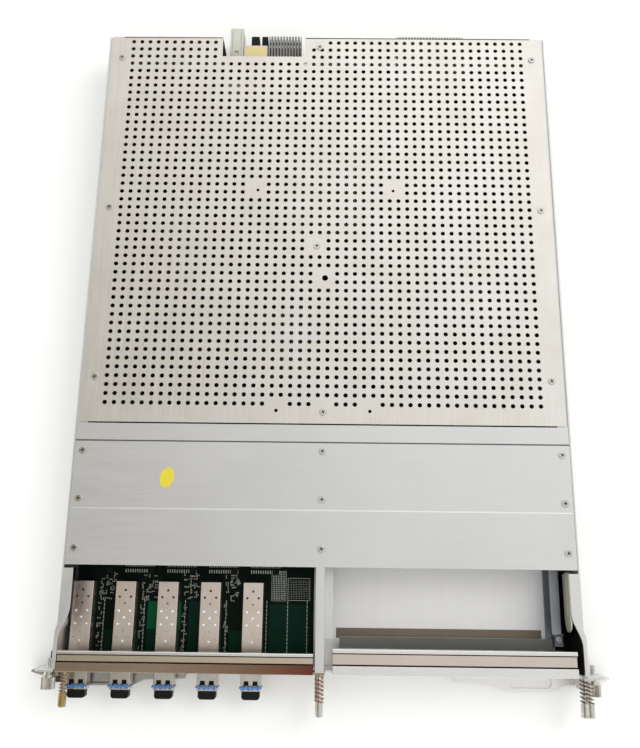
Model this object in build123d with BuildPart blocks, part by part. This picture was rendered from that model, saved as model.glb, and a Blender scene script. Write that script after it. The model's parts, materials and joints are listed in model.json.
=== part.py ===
"""Switch line card: a flat carrier with two card bays at its front edge.

It lies flat, millimetres, X to the right, Y to the rear, Z up. The origin is on the underside,
halfway along the tray. The left bay holds a five-port card with its modules, and the right bay
is empty behind a blank panel. A perforated cover closes the rear compartment.
"""
import os
from math import cos, hypot, pi, sin

from build123d import *

# Overall form
depth = 493.6
height = 41.0
wall_half_width = 178.6
pan_sheet = 1.2
wall_sheet = 1.2
cover_sheet = 1.0
plate_sheet = 1.5
seat_gap = 0.1
slide_gap = 0.3
turn_gap = 0.05

# Side walls: they step outwards near the front and carry a tapering top flange
wall_step_out = 1.5
wall_step_start = 28.8
wall_step_length = 4.0
flange_width = 7.7
narrow_flange = 2.5
taper_start = 42.8
taper_end = 18.8
ear_reach = 11.5
ear_bottom = 10.6

# Covers
bay_length = 70.1
front_cover_length = 99.7
cover_split = 1.0
perforated_side_inset = 2.8
front_lip = 4.0
crease_offsets = (12.3, 60.2)
crease_width = 0.9
crease_depth = 0.35

# Perforation: the sheet has 48 by 46 round holes at this pitch. Every second one each way is cut here,
# with four sides and the round hole's area, to keep the solid light
hole_pitch = 6.75
hole_columns = 48
hole_rows = 46
hole_step = 2
hole_radius = 1.45
hole_corner_share = 1.25
first_row_inset = 4.7
notch_left = -85.2
notch_right = -17.5
notch_depth = 17.8

# Cover screws
screw_head_radius = 2.8
screw_head_height = 0.7
screw_stub_radius = 1.4
screw_sides = 8
small_sides = 12
screw_edge_inset = 8.3
rear_side_screw_rows = (227.1, 93.3, -42.6)
rear_middle_screws = ((-5.4, 238.0), (-5.5, 62.2), (0.6, -67.4))
front_screw_rows = (-97.0, -131.2, -165.3)

# Front sill, ejector levers and their pivots
sill_height = 8.2
pivot_x = 186.0
pivot_forward = 5.2
lug_sheet = 2.2
lug_forward = 10.7
lug_back = 8.8
lug_half_width = 5.45
pin_radius = 1.5
hub_radius = 4.9
lever_thickness = 4.4
lever_air = 0.5
claw_tip_x = 205.7
arm_end_x = 94.0
grip_outer_x = 168.0
grip_inner_x = 130.0
arm_depth = 7.6
grip_depth = 11.8
arm_standoff = 1.0

# Knurled thumb screws, one through each ear
left_thumb_x = -185.8
right_thumb_x = 187.2
thumb_z = 26.75
thumb_radius = 4.75
thumb_length = 7.6
thumb_shoulder = 5.0
thumb_shank_radius = 1.7
knurl_count = 14
knurl_depth = 0.45

# Spring-loaded captive screws
captive_shank_radius = 1.5
captive_head_radius = 2.75
captive_head_length = 9.0
captive_spring_space = 16.8
left_spring_space = 13.0
right_upper_spring_space = 14.8
captive_reach_behind = 1.0
captive_travel = 8.0
ferrule_radius = 3.1
ferrule_length = 1.9
spring_wire = 0.7
spring_radius = 2.45
centre_spring_radius = 2.9
spring_turns = 6
spring_sides = 8
right_captive_x = 182.2
right_captive_heights = (33.0, 20.5)
left_captive_x = -174.5
left_captive_z = 29.0
anchor_width = 8.4
centre_captive_heights = (31.0, 18.5)

# Card panels: a front plate with a grooved top fold
panel_bottom = 8.6
port_fold_depth = 13.6
blank_fold_depth = 17.0
port_rear_lip = 2.2
blank_rear_lip = 2.8
panel_front_band = 6.0
panel_groove_depth = 2.0
panel_lip_drop = 6.0
panel_sheet = 1.0
port_panel_left = -177.4
port_panel_right = -4.3
blank_panel_left = 8.8
blank_panel_right = 173.6
tab_reach = 3.6
tongue_depth = 22.6
tongue_left = 14.0
tongue_right = 166.0

# Centre divider and the card rails
divider_half_width = 3.05
divider_front_solid = 12.6
rear_compartment_inset = 150.2
ledge_width = 5.0
ledge_sheet = 1.5
right_ledge_z = 19.0
right_ledge_width = 6.3
rail_left = 163.0
rail_width = 6.6
rail_height = 18.8
rail_sheet = 1.2
rail_front_inset = 26.2
rail_foot_length = 10.4
guide_strip_depth = 15.0
guide_strip_front = 28.8

# Port card
board_sheet = 1.6
port_board_bottom = 9.2
port_board_rear_inset = 138.8
port_count = 5
first_port_x = -168.8
port_pitch = 30.3
cage_width = 14.25
cage_height = 9.8
cage_wall = 0.3
cage_rear_inset = 58.8
cage_front_inset = 1.6
vent_rear_inset = 10.5
vent_step = 4.55
vent_side = 4.0
vent_radius = 0.85
module_width = 13.4
module_height = 8.5
module_length = 57.5
nose_length = 13.7
nose_flange = 0.3
nose_chamfer = 0.3
nose_start = 2.2
port_hole = 5.0
port_hole_depth = 9.0
port_hole_spacing = 6.25
bail_wire = 1.1
bail_pivot_from_tip = 2.5
bail_pivot_height = 1.1
bail_pin_radius = 0.6
bail_pin_length = 1.9
bail_rise = 9.3
plug_width = 12.6
plug_height = 6.2
plug_length = 5.8
plug_post_length = 8.0

# Rear compartment
main_board_bottom = 7.0
main_board_side_gap = 7.4
main_board_back_inset = 18.0
power_brick_width = 58.0
power_brick_depth = 36.0
power_brick_pitch = 42.0
power_brick_edge_gap = 6.0
power_brick_rear_gap = 6.8
stud_radius = 3.0
chip_height = 2.4
fin_count = 9
fin_sheet = 1.2
heat_sink_base = 3.0
heat_sink_top = 35.0
socket_height = 9.4
connector_height = 15.4
guide_left = -81.7
guide_width = 11.1
guide_reach = 22.1
guide_bore_radius = 3.1
guide_bore_depth = 30.0
power_right = -50.0
power_reach = 7.0
key_reach = 10.0
left_signal_left = -48.7
left_signal_right = -21.3
left_signal_wafers = 11
right_signal_left = 59.8
right_signal_right = 115.5
right_signal_wafers = 22
signal_reach = 14.5
wafer_slot = 0.9
rear_wall_gap = 0.6
rear_window_room = 1.0

# Places worked out from the sizes above
front_y = -depth / 2
back_y = depth / 2
plate_back_y = front_y + plate_sheet
wall_inner_x = wall_half_width - wall_sheet
front_wall_x = wall_half_width + wall_step_out
perforated_half_width = wall_half_width - perforated_side_inset
main_board_half_width = wall_inner_x - main_board_side_gap
cover_bottom = height - cover_sheet
bay_back_y = front_y + bay_length
front_cover_back_y = bay_back_y + front_cover_length
perforated_front_y = front_cover_back_y + cover_split
flange_bottom = cover_bottom - wall_sheet
compartment_front_y = front_y + rear_compartment_inset
pivot_y = front_y - pivot_forward
lever_bottom = lug_sheet + lever_air
lever_top = lever_bottom + lever_thickness
upper_lug_bottom = lever_top + lever_air
spring_seat_y = front_y - ferrule_length
port_board_top = port_board_bottom + board_sheet
main_board_top = main_board_bottom + board_sheet
rear_lip_top = main_board_bottom + 5.0
main_board_back_y = back_y - main_board_back_inset
module_bottom = port_board_top + cage_wall + seat_gap
nose_tip_y = front_y - nose_length
ledge_top = port_board_bottom - seat_gap
port_places = [first_port_x + port_pitch * index for index in range(port_count)]
captive_travel_end = plate_back_y + captive_reach_behind + captive_travel

os.makedirs("parts", exist_ok=True)


def save(piece, node):
    """Label a finished piece and write it under its node name."""
    piece.part.label = node
    export_step(piece.part, "parts/" + node + ".step")


def block(x_span, y_span, z_span, mode=Mode.ADD):
    """A plain block between two corners, added to or cut from the open part."""
    sizes = [max(span) - min(span) for span in (x_span, y_span, z_span)]
    with Locations((min(x_span), min(y_span), min(z_span))):
        Box(*sizes, align=(Align.MIN, Align.MIN, Align.MIN), mode=mode)


def rod(x, z, radius, y_span, mode=Mode.ADD):
    """A small bar or bore along Y, with few sides because so many repeat."""
    with BuildSketch(Plane.XZ.offset(-max(y_span))) as section:
        with Locations((x, z)):
            RegularPolygon(radius, small_sides)
    extrude(section.sketch, amount=max(y_span) - min(y_span), mode=mode)


def post(x, y, radius, z_span, mode=Mode.ADD):
    """A round bar or bore along Z."""
    with Locations((x, y, sum(z_span) / 2)):
        Cylinder(radius, max(z_span) - min(z_span), mode=mode)


def ferrule(x, z):
    """The pressed-in bush that a captive screw runs in, on the open part's front plate."""
    rod(x, z, ferrule_radius, (front_y - ferrule_length, front_y))
    rod(x, z, captive_shank_radius + seat_gap, (front_y - ferrule_length, plate_back_y), Mode.SUBTRACT)


def shared_grid(count, low, high):
    """Evenly spread middles of count equal cells between two ends."""
    cell = (high - low) / count
    return [low + cell * (index + 0.5) for index in range(count)]


# Tray that the whole card is built on, with pressed studs for the main board
stud_xs = (-main_board_half_width + 12.0, -55.0, 55.0, main_board_half_width - 12.0)
stud_ys = (compartment_front_y + 20.0, (compartment_front_y + main_board_back_y) / 2, main_board_back_y - 14.0)
with BuildPart() as bottom_pan:
    block((-wall_inner_x, wall_inner_x), (plate_back_y, back_y), (0, pan_sheet))
    rear_lip_spans = [(-wall_inner_x, notch_left - 3.0), (notch_right + 2.0, right_signal_left - 4.0)]
    rear_lip_spans.append((right_signal_right + 4.0, wall_inner_x))
    for lip_span in rear_lip_spans:
        block(lip_span, (back_y - pan_sheet, back_y), (0, rear_lip_top))
    for stud_x in stud_xs:
        for stud_y in stud_ys:
            with BuildSketch(Plane.XY.offset(pan_sheet)):
                with Locations((stud_x, stud_y)):
                    RegularPolygon(stud_radius, 6)
            extrude(amount=main_board_bottom - pan_sheet)
save(bottom_pan, "bottom_pan")

# Sill under the two card panels
with BuildPart() as front_sill:
    block((-front_wall_x, front_wall_x), (front_y, plate_back_y), (0, sill_height))
    fillet(front_sill.edges().filter_by(Axis.X).group_by(Axis.Z)[-1].sort_by(Axis.Y)[0], plate_sheet * 0.6)
save(front_sill, "front_sill")


def side_plate(side, holes):
    """One folded side wall with its stepped front, tapering flange and ear."""
    step_back = plate_back_y + wall_step_start
    step_front = step_back - wall_step_length
    flange_back = bay_back_y - 2.3
    wide_edge = side * (wall_half_width - flange_width)
    narrow_edge = side * (front_wall_x - narrow_flange)
    with BuildPart() as plate:
        with BuildSketch():
            with BuildLine():
                Polyline(
                    (side * wall_half_width, back_y),
                    (side * wall_half_width, step_back),
                    (side * front_wall_x, step_front),
                    (side * front_wall_x, plate_back_y),
                    (side * (front_wall_x - wall_sheet), plate_back_y),
                    (side * (front_wall_x - wall_sheet), step_front),
                    (side * wall_inner_x, step_back),
                    (side * wall_inner_x, back_y),
                    close=True,
                )
            make_face()
        extrude(amount=height)
        with BuildSketch(Plane.XY.offset(height - wall_sheet)):
            with BuildLine():
                wide = Line((wide_edge, flange_back), (wide_edge, front_y + taper_start))
                taper = Spline(wide @ 1, (narrow_edge, front_y + taper_end), tangents=((0, -1), (0, -1)))
                Polyline(
                    taper @ 1,
                    (narrow_edge, plate_back_y),
                    (side * front_wall_x, plate_back_y),
                    (side * front_wall_x, step_front),
                    (side * wall_half_width, step_back),
                    (side * wall_half_width, flange_back),
                    wide @ 0,
                )
            make_face()
        extrude(amount=wall_sheet)
        block(
            (side * wall_inner_x, side * (wall_inner_x - flange_width)),
            (bay_back_y, back_y),
            (flange_bottom, cover_bottom),
        )
        ear_span = (side * (front_wall_x - wall_sheet), side * (front_wall_x + ear_reach))
        block(ear_span, (front_y, plate_back_y), (ear_bottom, height))
        corners = plate.edges().filter_by(Axis.Y).group_by(Axis.Y)[0].sort_by(Axis.X)
        fillet(corners[-2:] if side > 0 else corners[:2], 2.5)
        for hole_x, hole_z, hole_size in holes:
            rod(hole_x, hole_z, hole_size, (front_y, plate_back_y), Mode.SUBTRACT)
    return plate


thumb_hole = thumb_shank_radius + seat_gap
save(side_plate(-1, [(left_thumb_x, thumb_z, thumb_hole)]), "left_side_plate")

# Threaded anchor inside the left wall for the port card's outer screw
with BuildPart() as left_captive_anchor:
    block(
        (-(front_wall_x - wall_sheet), -(front_wall_x - wall_sheet) + anchor_width),
        (plate_back_y + seat_gap, captive_travel_end + 1.4),
        (left_captive_z - 4.0, left_captive_z + 4.0),
    )
    bore_span = (plate_back_y, captive_travel_end + slide_gap)
    rod(left_captive_x, left_captive_z, captive_shank_radius + seat_gap, bore_span, Mode.SUBTRACT)
save(left_captive_anchor, "left_captive_anchor")

right_side_plate = side_plate(1, [(right_thumb_x, thumb_z, thumb_hole)])
with BuildPart() as right_wall_with_bushes:
    add(right_side_plate.part)
    for captive_z in right_captive_heights:
        ferrule(right_captive_x, captive_z)
save(right_wall_with_bushes, "right_side_plate")

# Guide strips that hang from the wide part of both top flanges
with BuildPart() as inner_guides:
    for side in (-1, 1):
        strip_x = side * (wall_half_width - flange_width)
        strip_front = front_y + guide_strip_front
        strip_top = height - wall_sheet
        with BuildSketch(Plane.YZ.offset(strip_x)) as strip:
            with BuildLine():
                top_line = Line((bay_back_y - 2.3, strip_top), (front_y + taper_start, strip_top))
                hook = Spline(
                    top_line @ 1,
                    (strip_front, strip_top - guide_strip_depth / 2),
                    (front_y + taper_start, strip_top - guide_strip_depth),
                    tangents=((-1, 0), (1, 0)),
                )
                Polyline(hook @ 1, (bay_back_y - 2.3, strip_top - guide_strip_depth), top_line @ 0)
            make_face()
        extrude(amount=side * wall_sheet)
save(inner_guides, "inner_guides")

# Card rails: a low ledge for the port card on the left, a channel with a foot on the right
with BuildPart() as card_rails:
    block(
        (-wall_inner_x + seat_gap, -wall_inner_x + ledge_width),
        (plate_back_y + wall_step_start, compartment_front_y),
        (pan_sheet, ledge_top),
    )
    rail_front = front_y + rail_front_inset
    block((rail_left, rail_left + rail_width), (rail_front, compartment_front_y), (pan_sheet, pan_sheet + rail_height))
    block(
        (rail_left - 1.0, rail_left + rail_width - rail_sheet),
        (rail_front - 1.0, compartment_front_y + 1.0),
        (pan_sheet + rail_sheet, pan_sheet + rail_height - rail_sheet),
        Mode.SUBTRACT,
    )
    block((rail_left, rail_left + rail_width), (rail_front - rail_foot_length, rail_front), (pan_sheet, pan_sheet + 1.8))
save(card_rails, "card_rails")

# Divider between the bays: an inverted channel, solid at its front end for two screws
with BuildPart() as centre_divider:
    divider_front = plate_back_y + seat_gap
    block((-divider_half_width, divider_half_width), (divider_front, bay_back_y), (pan_sheet, height))
    block((-divider_half_width, divider_half_width), (bay_back_y, compartment_front_y), (pan_sheet, cover_bottom))
    block(
        (-divider_half_width + wall_sheet, divider_half_width - wall_sheet),
        (divider_front + divider_front_solid, compartment_front_y),
        (pan_sheet, flange_bottom),
        Mode.SUBTRACT,
    )
    block(
        (-divider_half_width - ledge_width, -divider_half_width),
        (divider_front, compartment_front_y),
        (ledge_top - ledge_sheet, ledge_top),
    )
    block(
        (divider_half_width, divider_half_width + right_ledge_width),
        (front_y + rail_front_inset - 5.0, compartment_front_y),
        (right_ledge_z, right_ledge_z + ledge_sheet),
    )
    for captive_z in centre_captive_heights:
        thread_span = (divider_front, captive_travel_end + slide_gap)
        rod(0, captive_z, captive_shank_radius + seat_gap, thread_span, Mode.SUBTRACT)
save(centre_divider, "centre_divider")

# Perforated cover over the rear compartment, extruded from one face with all its holes
lip_bottom = cover_bottom - front_lip
first_row_y = back_y - first_row_inset
last_row_y = first_row_y - hole_pitch * (hole_rows - 1)
row_middle_y = (first_row_y + last_row_y) / 2
shown_pitch = hole_pitch * hole_step
shown_xs = [shown_pitch * (column - (hole_columns // hole_step - 1) / 2) for column in range(hole_columns // hole_step)]
shown_ys = [row_middle_y + shown_pitch * (row - (hole_rows // hole_step - 1) / 2) for row in range(hole_rows // hole_step)]
rear_screws = [(side * (perforated_half_width - screw_edge_inset), y) for side in (-1, 1) for y in rear_side_screw_rows]
rear_screws += rear_middle_screws


def hole_outline(x, y, radius, sides):
    """The closed outline of one small hole in the perforated sheet."""
    corners = [2 * pi * corner / sides for corner in range(sides)]
    points = [(x + radius * cos(angle), y + radius * sin(angle), cover_bottom) for angle in corners]
    return Wire.make_polygon(points)


def is_perforated(x, y):
    """True where the sheet has a hole: away from the notch and from the screws."""
    edge_room = hole_pitch / 2
    inside_notch = notch_left - edge_room < x < notch_right + edge_room and y > back_y - notch_depth - edge_room
    nearest_screw = min(hypot(x - screw_x, y - screw_y) for screw_x, screw_y in rear_screws)
    return not inside_notch and nearest_screw > screw_head_radius + hole_radius


sheet_corners = [
    (-perforated_half_width, perforated_front_y),
    (perforated_half_width, perforated_front_y),
    (perforated_half_width, back_y),
    (notch_right, back_y),
    (notch_right, back_y - notch_depth),
    (notch_left, back_y - notch_depth),
    (notch_left, back_y),
    (-perforated_half_width, back_y),
]
sheet_outline = Wire.make_polygon([(x, y, cover_bottom) for x, y in sheet_corners])
hole_places = [(x, y) for x in shown_xs for y in shown_ys if is_perforated(x, y)]
sheet_holes = [hole_outline(x, y, hole_radius * hole_corner_share, 4) for x, y in hole_places]
sheet_holes += [hole_outline(x, y, screw_stub_radius + seat_gap, screw_sides) for x, y in rear_screws]
with BuildPart() as perforated_cover:
    extrude(Face(sheet_outline, sheet_holes), amount=cover_sheet, dir=(0, 0, 1))
    rear_wall_y = (back_y - cover_sheet, back_y)
    for wall_x in ((-perforated_half_width + 9.0, notch_left), (notch_right, perforated_half_width - 9.0)):
        block(wall_x, rear_wall_y, (rear_lip_top + rear_wall_gap, cover_bottom))
    window_x = (right_signal_left - rear_window_room, right_signal_right + rear_window_room)
    block(window_x, rear_wall_y, (rear_lip_top, main_board_top + connector_height + rear_wall_gap), Mode.SUBTRACT)
save(perforated_cover, "perforated_cover")

# Plain front cover with its two creases and a folded front lip
front_cover_half = wall_inner_x - seat_gap
front_screws = [(side * (front_cover_half - 5.6), y) for side in (-1, 1) for y in front_screw_rows]
front_screws += [(0.5, y + 1.0) for y in front_screw_rows]
with BuildPart() as front_cover:
    block((-front_cover_half, front_cover_half), (bay_back_y, front_cover_back_y), (cover_bottom, height))
    lip_inner = divider_half_width + 1.0
    for side in (-1, 1):
        lip_x = (side * lip_inner, side * (wall_inner_x - flange_width - 1.0))
        block(lip_x, (bay_back_y, bay_back_y + cover_sheet), (lip_bottom, cover_bottom))
    for crease in crease_offsets:
        crease_y = front_cover_back_y - crease
        crease_x = (-front_cover_half, front_cover_half)
        block(crease_x, (crease_y - crease_width, crease_y), (height - crease_depth, height), Mode.SUBTRACT)
    with BuildSketch(Plane.XY.offset(cover_bottom)):
        with Locations(front_screws):
            RegularPolygon(screw_stub_radius + seat_gap, screw_sides)
    extrude(amount=cover_sheet, mode=Mode.SUBTRACT)
save(front_cover, "front_cover")


def cover_screws(places):
    """Pan-head screws with their heads on the cover and their stubs in its holes."""
    with BuildPart() as screws:
        with BuildSketch(Plane.XY.offset(height)):
            with Locations(places):
                RegularPolygon(screw_head_radius, screw_sides)
        extrude(amount=screw_head_height, taper=20)
        with BuildSketch(Plane.XY.offset(cover_bottom)):
            with Locations(places):
                RegularPolygon(screw_stub_radius, screw_sides)
        extrude(amount=cover_sheet)
    return screws


save(cover_screws(rear_screws), "perforated_cover_screws")
save(cover_screws(front_screws), "front_cover_screws")

# Brackets that hold the lever pivots, one outside each wall
bracket_back_y = plate_back_y + lug_back
with BuildPart() as pivot_brackets:
    for side in (-1, 1):
        lug_x = (side * front_wall_x, side * (pivot_x + lug_half_width))
        for lug_bottom in (0, upper_lug_bottom):
            block(lug_x, (front_y - lug_forward, bracket_back_y), (lug_bottom, lug_bottom + lug_sheet))
        web_x = (side * front_wall_x, side * (front_wall_x + wall_sheet))
        block(web_x, (plate_back_y, bracket_back_y), (0, upper_lug_bottom + lug_sheet))
        post(side * pivot_x, pivot_y, pin_radius + turn_gap / 2, (0, height), Mode.SUBTRACT)
    fillet(pivot_brackets.edges().filter_by(Axis.Z).group_by(Axis.Y)[0], 3.0)
save(pivot_brackets, "pivot_brackets")

with BuildPart() as lever_pins:
    for side in (-1, 1):
        post(side * pivot_x, pivot_y, pin_radius, (0.2, upper_lug_bottom + lug_sheet))
save(lever_pins, "lever_pins")


def ejector_lever(side):
    """A flat cast lever: claw, hub, arm and thumb grip in one piece."""
    arm_back = front_y - arm_standoff
    arm_front = arm_back - arm_depth
    grip_front = arm_back - grip_depth
    with BuildPart() as lever:
        with BuildSketch(Plane.XY.offset(lever_bottom)) as outline:
            with BuildLine():
                Polyline(
                    (side * (pivot_x - 2.0), arm_back),
                    (side * arm_end_x, arm_back),
                    (side * (arm_end_x + 1.5), arm_front + 1.0),
                    (side * (grip_inner_x - 6.0), arm_front),
                    (side * (grip_inner_x + 3.0), grip_front),
                    (side * (grip_outer_x - 3.0), grip_front),
                    (side * (grip_outer_x + 6.0), arm_front),
                    (side * (pivot_x - 2.0), arm_front),
                    close=True,
                )
            make_face()
            fillet(outline.vertices().group_by(Axis.X)[0 if side > 0 else -1], 2.5)
            fillet(outline.vertices().group_by(Axis.Y)[0], 5.0)
            with Locations((side * pivot_x, pivot_y)):
                Circle(hub_radius)
            with BuildLine():
                Polyline(
                    (side * pivot_x, pivot_y - hub_radius + 0.3),
                    (side * claw_tip_x, pivot_y + 0.9),
                    (side * (claw_tip_x - 0.8), pivot_y + 2.4),
                    (side * (pivot_x + 6.0), pivot_y + 7.0),
                    (side * pivot_x, pivot_y + hub_radius - 0.3),
                    close=True,
                )
            make_face()
        extrude(amount=lever_thickness)
        with BuildSketch(Plane.XY.offset(lever_top)):
            with BuildLine():
                Polyline(
                    (side * (pivot_x + 6.6), pivot_y - 1.2),
                    (side * (claw_tip_x - 3.6), pivot_y + 1.9),
                    (side * (pivot_x + 6.6), pivot_y + 5.6),
                    close=True,
                )
            make_face()
        extrude(amount=-lever_thickness / 2, mode=Mode.SUBTRACT)
        with BuildSketch(Plane.XY.offset(lever_top)) as trough:
            with Locations((side * (grip_outer_x + grip_inner_x) / 2, (arm_back + grip_front) / 2)):
                RectangleRounded(grip_outer_x - grip_inner_x - 8.0, grip_depth - 4.0, 3.0)
        extrude(amount=-lever_thickness / 4, mode=Mode.SUBTRACT)
        post(side * pivot_x, pivot_y, pin_radius + turn_gap, (0, height), Mode.SUBTRACT)
    return lever


save(ejector_lever(-1), "left_ejector_lever")
save(ejector_lever(1), "right_ejector_lever")


def thumb_screw(x):
    """A knurled screw through an ear: grip, tapered shoulder and shank."""
    grip_back = front_y - thumb_shoulder - seat_gap
    grip_front = grip_back - thumb_length
    with BuildPart() as screw:
        with BuildSketch(Plane.XZ.offset(-grip_back)) as grip:
            with Locations((x, thumb_z)):
                RegularPolygon(thumb_radius, knurl_count)
                RegularPolygon(thumb_radius, knurl_count, rotation=180 / knurl_count)
        extrude(amount=thumb_length)
        chamfer(screw.faces().sort_by(Axis.Y)[0].edges(), knurl_depth)
        with BuildSketch(Plane(origin=(x, 0, thumb_z), x_dir=(1, 0, 0), z_dir=(0, 0, 1))) as section:
            with BuildLine():
                Polyline(
                    (0, grip_front + 1.0),
                    (thumb_radius * 0.62, grip_front + 1.0),
                    (thumb_radius * 0.9, grip_back),
                    (thumb_radius * 0.62, front_y - seat_gap),
                    (thumb_shank_radius, front_y - seat_gap),
                    (thumb_shank_radius, plate_back_y + 5.0),
                    (0, plate_back_y + 6.0),
                    close=True,
                )
            make_face()
        revolve(axis=Axis((x, 0, thumb_z), (0, 1, 0)))
    return screw


save(thumb_screw(left_thumb_x), "left_thumb_screw")
save(thumb_screw(right_thumb_x), "right_thumb_screw")


def captive_screw(x, z, spring_space):
    """A slim screw that its spring holds out: slotted round-nosed head and long shank."""
    head_back = spring_seat_y - spring_space
    tip_y = head_back - captive_head_length
    with BuildPart() as screw:
        rod(x, z, captive_head_radius, (tip_y, head_back))
        chamfer(screw.faces().sort_by(Axis.Y)[0].edges(), captive_head_radius * 0.4)
        rod(x, z, captive_shank_radius, (head_back, plate_back_y + captive_reach_behind))
        slot_x = (x - captive_head_radius, x + captive_head_radius)
        block(slot_x, (tip_y, tip_y + 1.4), (z - 0.4, z + 0.4), Mode.SUBTRACT)
    return screw


def captive_spring(x, z, spring_space, coil_radius):
    """The coil between a captive screw's head and its bush, in short straight runs of square wire."""
    start_y = spring_seat_y - spring_wire
    coil_length = spring_space - 2 * spring_wire
    steps = spring_turns * spring_sides
    points = []
    for step in range(steps + 1):
        angle = 2 * pi * step / spring_sides
        across = x + coil_radius * cos(angle)
        up = z + coil_radius * sin(angle)
        points.append((across, start_y - coil_length * step / steps, up))
    with BuildPart() as spring:
        with BuildLine() as coil:
            Polyline(*points)
        with BuildSketch(Plane(origin=points[0], z_dir=coil.line % 0)):
            Rectangle(spring_wire, spring_wire)
        sweep(path=coil.line, transition=Transition.RIGHT)
    return spring


captive_places = {
    "left": (left_captive_x, left_captive_z, left_spring_space, spring_radius),
    "centre_upper": (0, centre_captive_heights[0], captive_spring_space, centre_spring_radius),
    "centre_lower": (0, centre_captive_heights[1], captive_spring_space, centre_spring_radius),
    "right_upper": (right_captive_x, right_captive_heights[0], right_upper_spring_space, spring_radius),
    "right_lower": (right_captive_x, right_captive_heights[1], captive_spring_space, spring_radius),
}
for place_name, (place_x, place_z, spring_space, coil_radius) in captive_places.items():
    save(captive_screw(place_x, place_z, spring_space), place_name + "_captive_screw")
    save(captive_spring(place_x, place_z, spring_space, coil_radius), place_name + "_spring")


def card_panel(x_span, fold_depth, rear_lip):
    """A folded card front: front plate and grooved top fold, extruded along X."""
    band_y = front_y + panel_front_band
    fold_y = front_y + fold_depth
    lip_y = fold_y - rear_lip
    groove_z = height - panel_groove_depth
    inner_top = height - panel_sheet
    inner_groove = groove_z - panel_sheet
    with BuildSketch(Plane.YZ.offset(min(x_span))) as section:
        with BuildLine():
            Polyline(
                (front_y, panel_bottom),
                (front_y, height),
                (band_y, height),
                (band_y, groove_z),
                (lip_y, groove_z),
                (lip_y, height),
                (fold_y, height),
                (fold_y, height - panel_lip_drop),
                (fold_y - panel_sheet, height - panel_lip_drop),
                (fold_y - panel_sheet, inner_top),
                (lip_y + panel_sheet, inner_top),
                (lip_y + panel_sheet, inner_groove),
                (band_y - panel_sheet, inner_groove),
                (band_y - panel_sheet, inner_top),
                (plate_back_y, inner_top),
                (plate_back_y, panel_bottom),
                close=True,
            )
        make_face()
    extrude(section.sketch, amount=max(x_span) - min(x_span))
    front_edges = edges().filter_by(Axis.X).group_by(Axis.Z)[-1].sort_by(Axis.Y)
    fillet([front_edges[0], front_edges[-1]], panel_sheet * 0.8)


# Front of the port card, with an opening for each port and a tab across the divider
cage_opening_half = cage_width / 2 + seat_gap
cage_top = port_board_top + cage_height
with BuildPart() as port_card_panel:
    card_panel((port_panel_left, port_panel_right), port_fold_depth, port_rear_lip)
    upper_z = centre_captive_heights[0]
    block((port_panel_right, tab_reach), (front_y, plate_back_y), (upper_z - 6.0, upper_z + 6.0))
    ferrule(0, upper_z)
    ferrule(left_captive_x, left_captive_z)
    for port_x in port_places:
        opening_x = (port_x - cage_opening_half, port_x + cage_opening_half)
        block(opening_x, (front_y, plate_back_y), (port_board_top - seat_gap, cage_top + seat_gap), Mode.SUBTRACT)
        for lamp_x in (port_x - 3.0, port_x + 3.0):
            block((lamp_x - 1.2, lamp_x + 1.2), (front_y, plate_back_y), (cage_top + 3.0, cage_top + 4.4), Mode.SUBTRACT)
save(port_card_panel, "port_card_panel")

# Blank panel of the empty bay, with its tongue and its tab under the port card's
with BuildPart() as blank_panel:
    card_panel((blank_panel_left, blank_panel_right), blank_fold_depth, blank_rear_lip)
    lower_z = centre_captive_heights[1]
    block((-tab_reach, blank_panel_left), (front_y, plate_back_y), (lower_z - 6.0, lower_z + 6.0))
    ferrule(0, lower_z)
    tongue_y = (front_y, front_y + tongue_depth)
    block((tongue_left, tongue_right), tongue_y, (panel_bottom, panel_bottom + pan_sheet))
save(blank_panel, "blank_panel")

# Board of the port card
port_board_left = -wall_inner_x + 0.9
port_board_right = -divider_half_width - 1.5
port_board_back_y = front_y + port_board_rear_inset
with BuildPart() as port_card_board:
    board_x = (port_board_left, port_board_right)
    block(board_x, (plate_back_y + seat_gap, port_board_back_y), (port_board_bottom, port_board_top))
    chamfer(port_card_board.edges().filter_by(Axis.Z).group_by(Axis.Y)[-1], 4.0)
save(port_card_board, "port_card_board")

# Chips of the port card, two of them under the front cover
chip_rows = bay_back_y + 24.0
port_chips = [(-140.0, chip_rows, 23.0, 23.0), (-95.0, chip_rows, 17.0, 17.0), (-40.0, chip_rows, 27.0, 27.0)]
port_chips += [(port_x + port_pitch / 2, bay_back_y - 3.5, 5.0, 4.0) for port_x in port_places]
with BuildPart() as port_card_chips:
    for chip_x, chip_y, chip_width, chip_depth in port_chips:
        block(
            (chip_x - chip_width / 2, chip_x + chip_width / 2),
            (chip_y - chip_depth / 2, chip_y + chip_depth / 2),
            (port_board_top, port_board_top + chip_height / 2),
        )
save(port_card_chips, "port_card_chips")

# Port card's rear connector and the socket that it plugs into
mate_y = compartment_front_y
plug_x = (-142.0, -42.0)
with BuildPart() as port_card_connector:
    block(plug_x, (port_board_back_y - 9.0, mate_y - seat_gap), (port_board_top, main_board_top + socket_height))
    for contact_x in shared_grid(16, plug_x[0], plug_x[1]):
        contact_z = (port_board_top + 2.0, port_board_top + 4.0)
        block((contact_x - 0.8, contact_x + 0.8), (mate_y - 4.0, mate_y - seat_gap), contact_z, Mode.SUBTRACT)
save(port_card_connector, "port_card_connector")

with BuildPart() as card_socket:
    block(plug_x, (mate_y, mate_y + 11.0), (main_board_top, main_board_top + socket_height))
save(card_socket, "card_socket")

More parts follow.
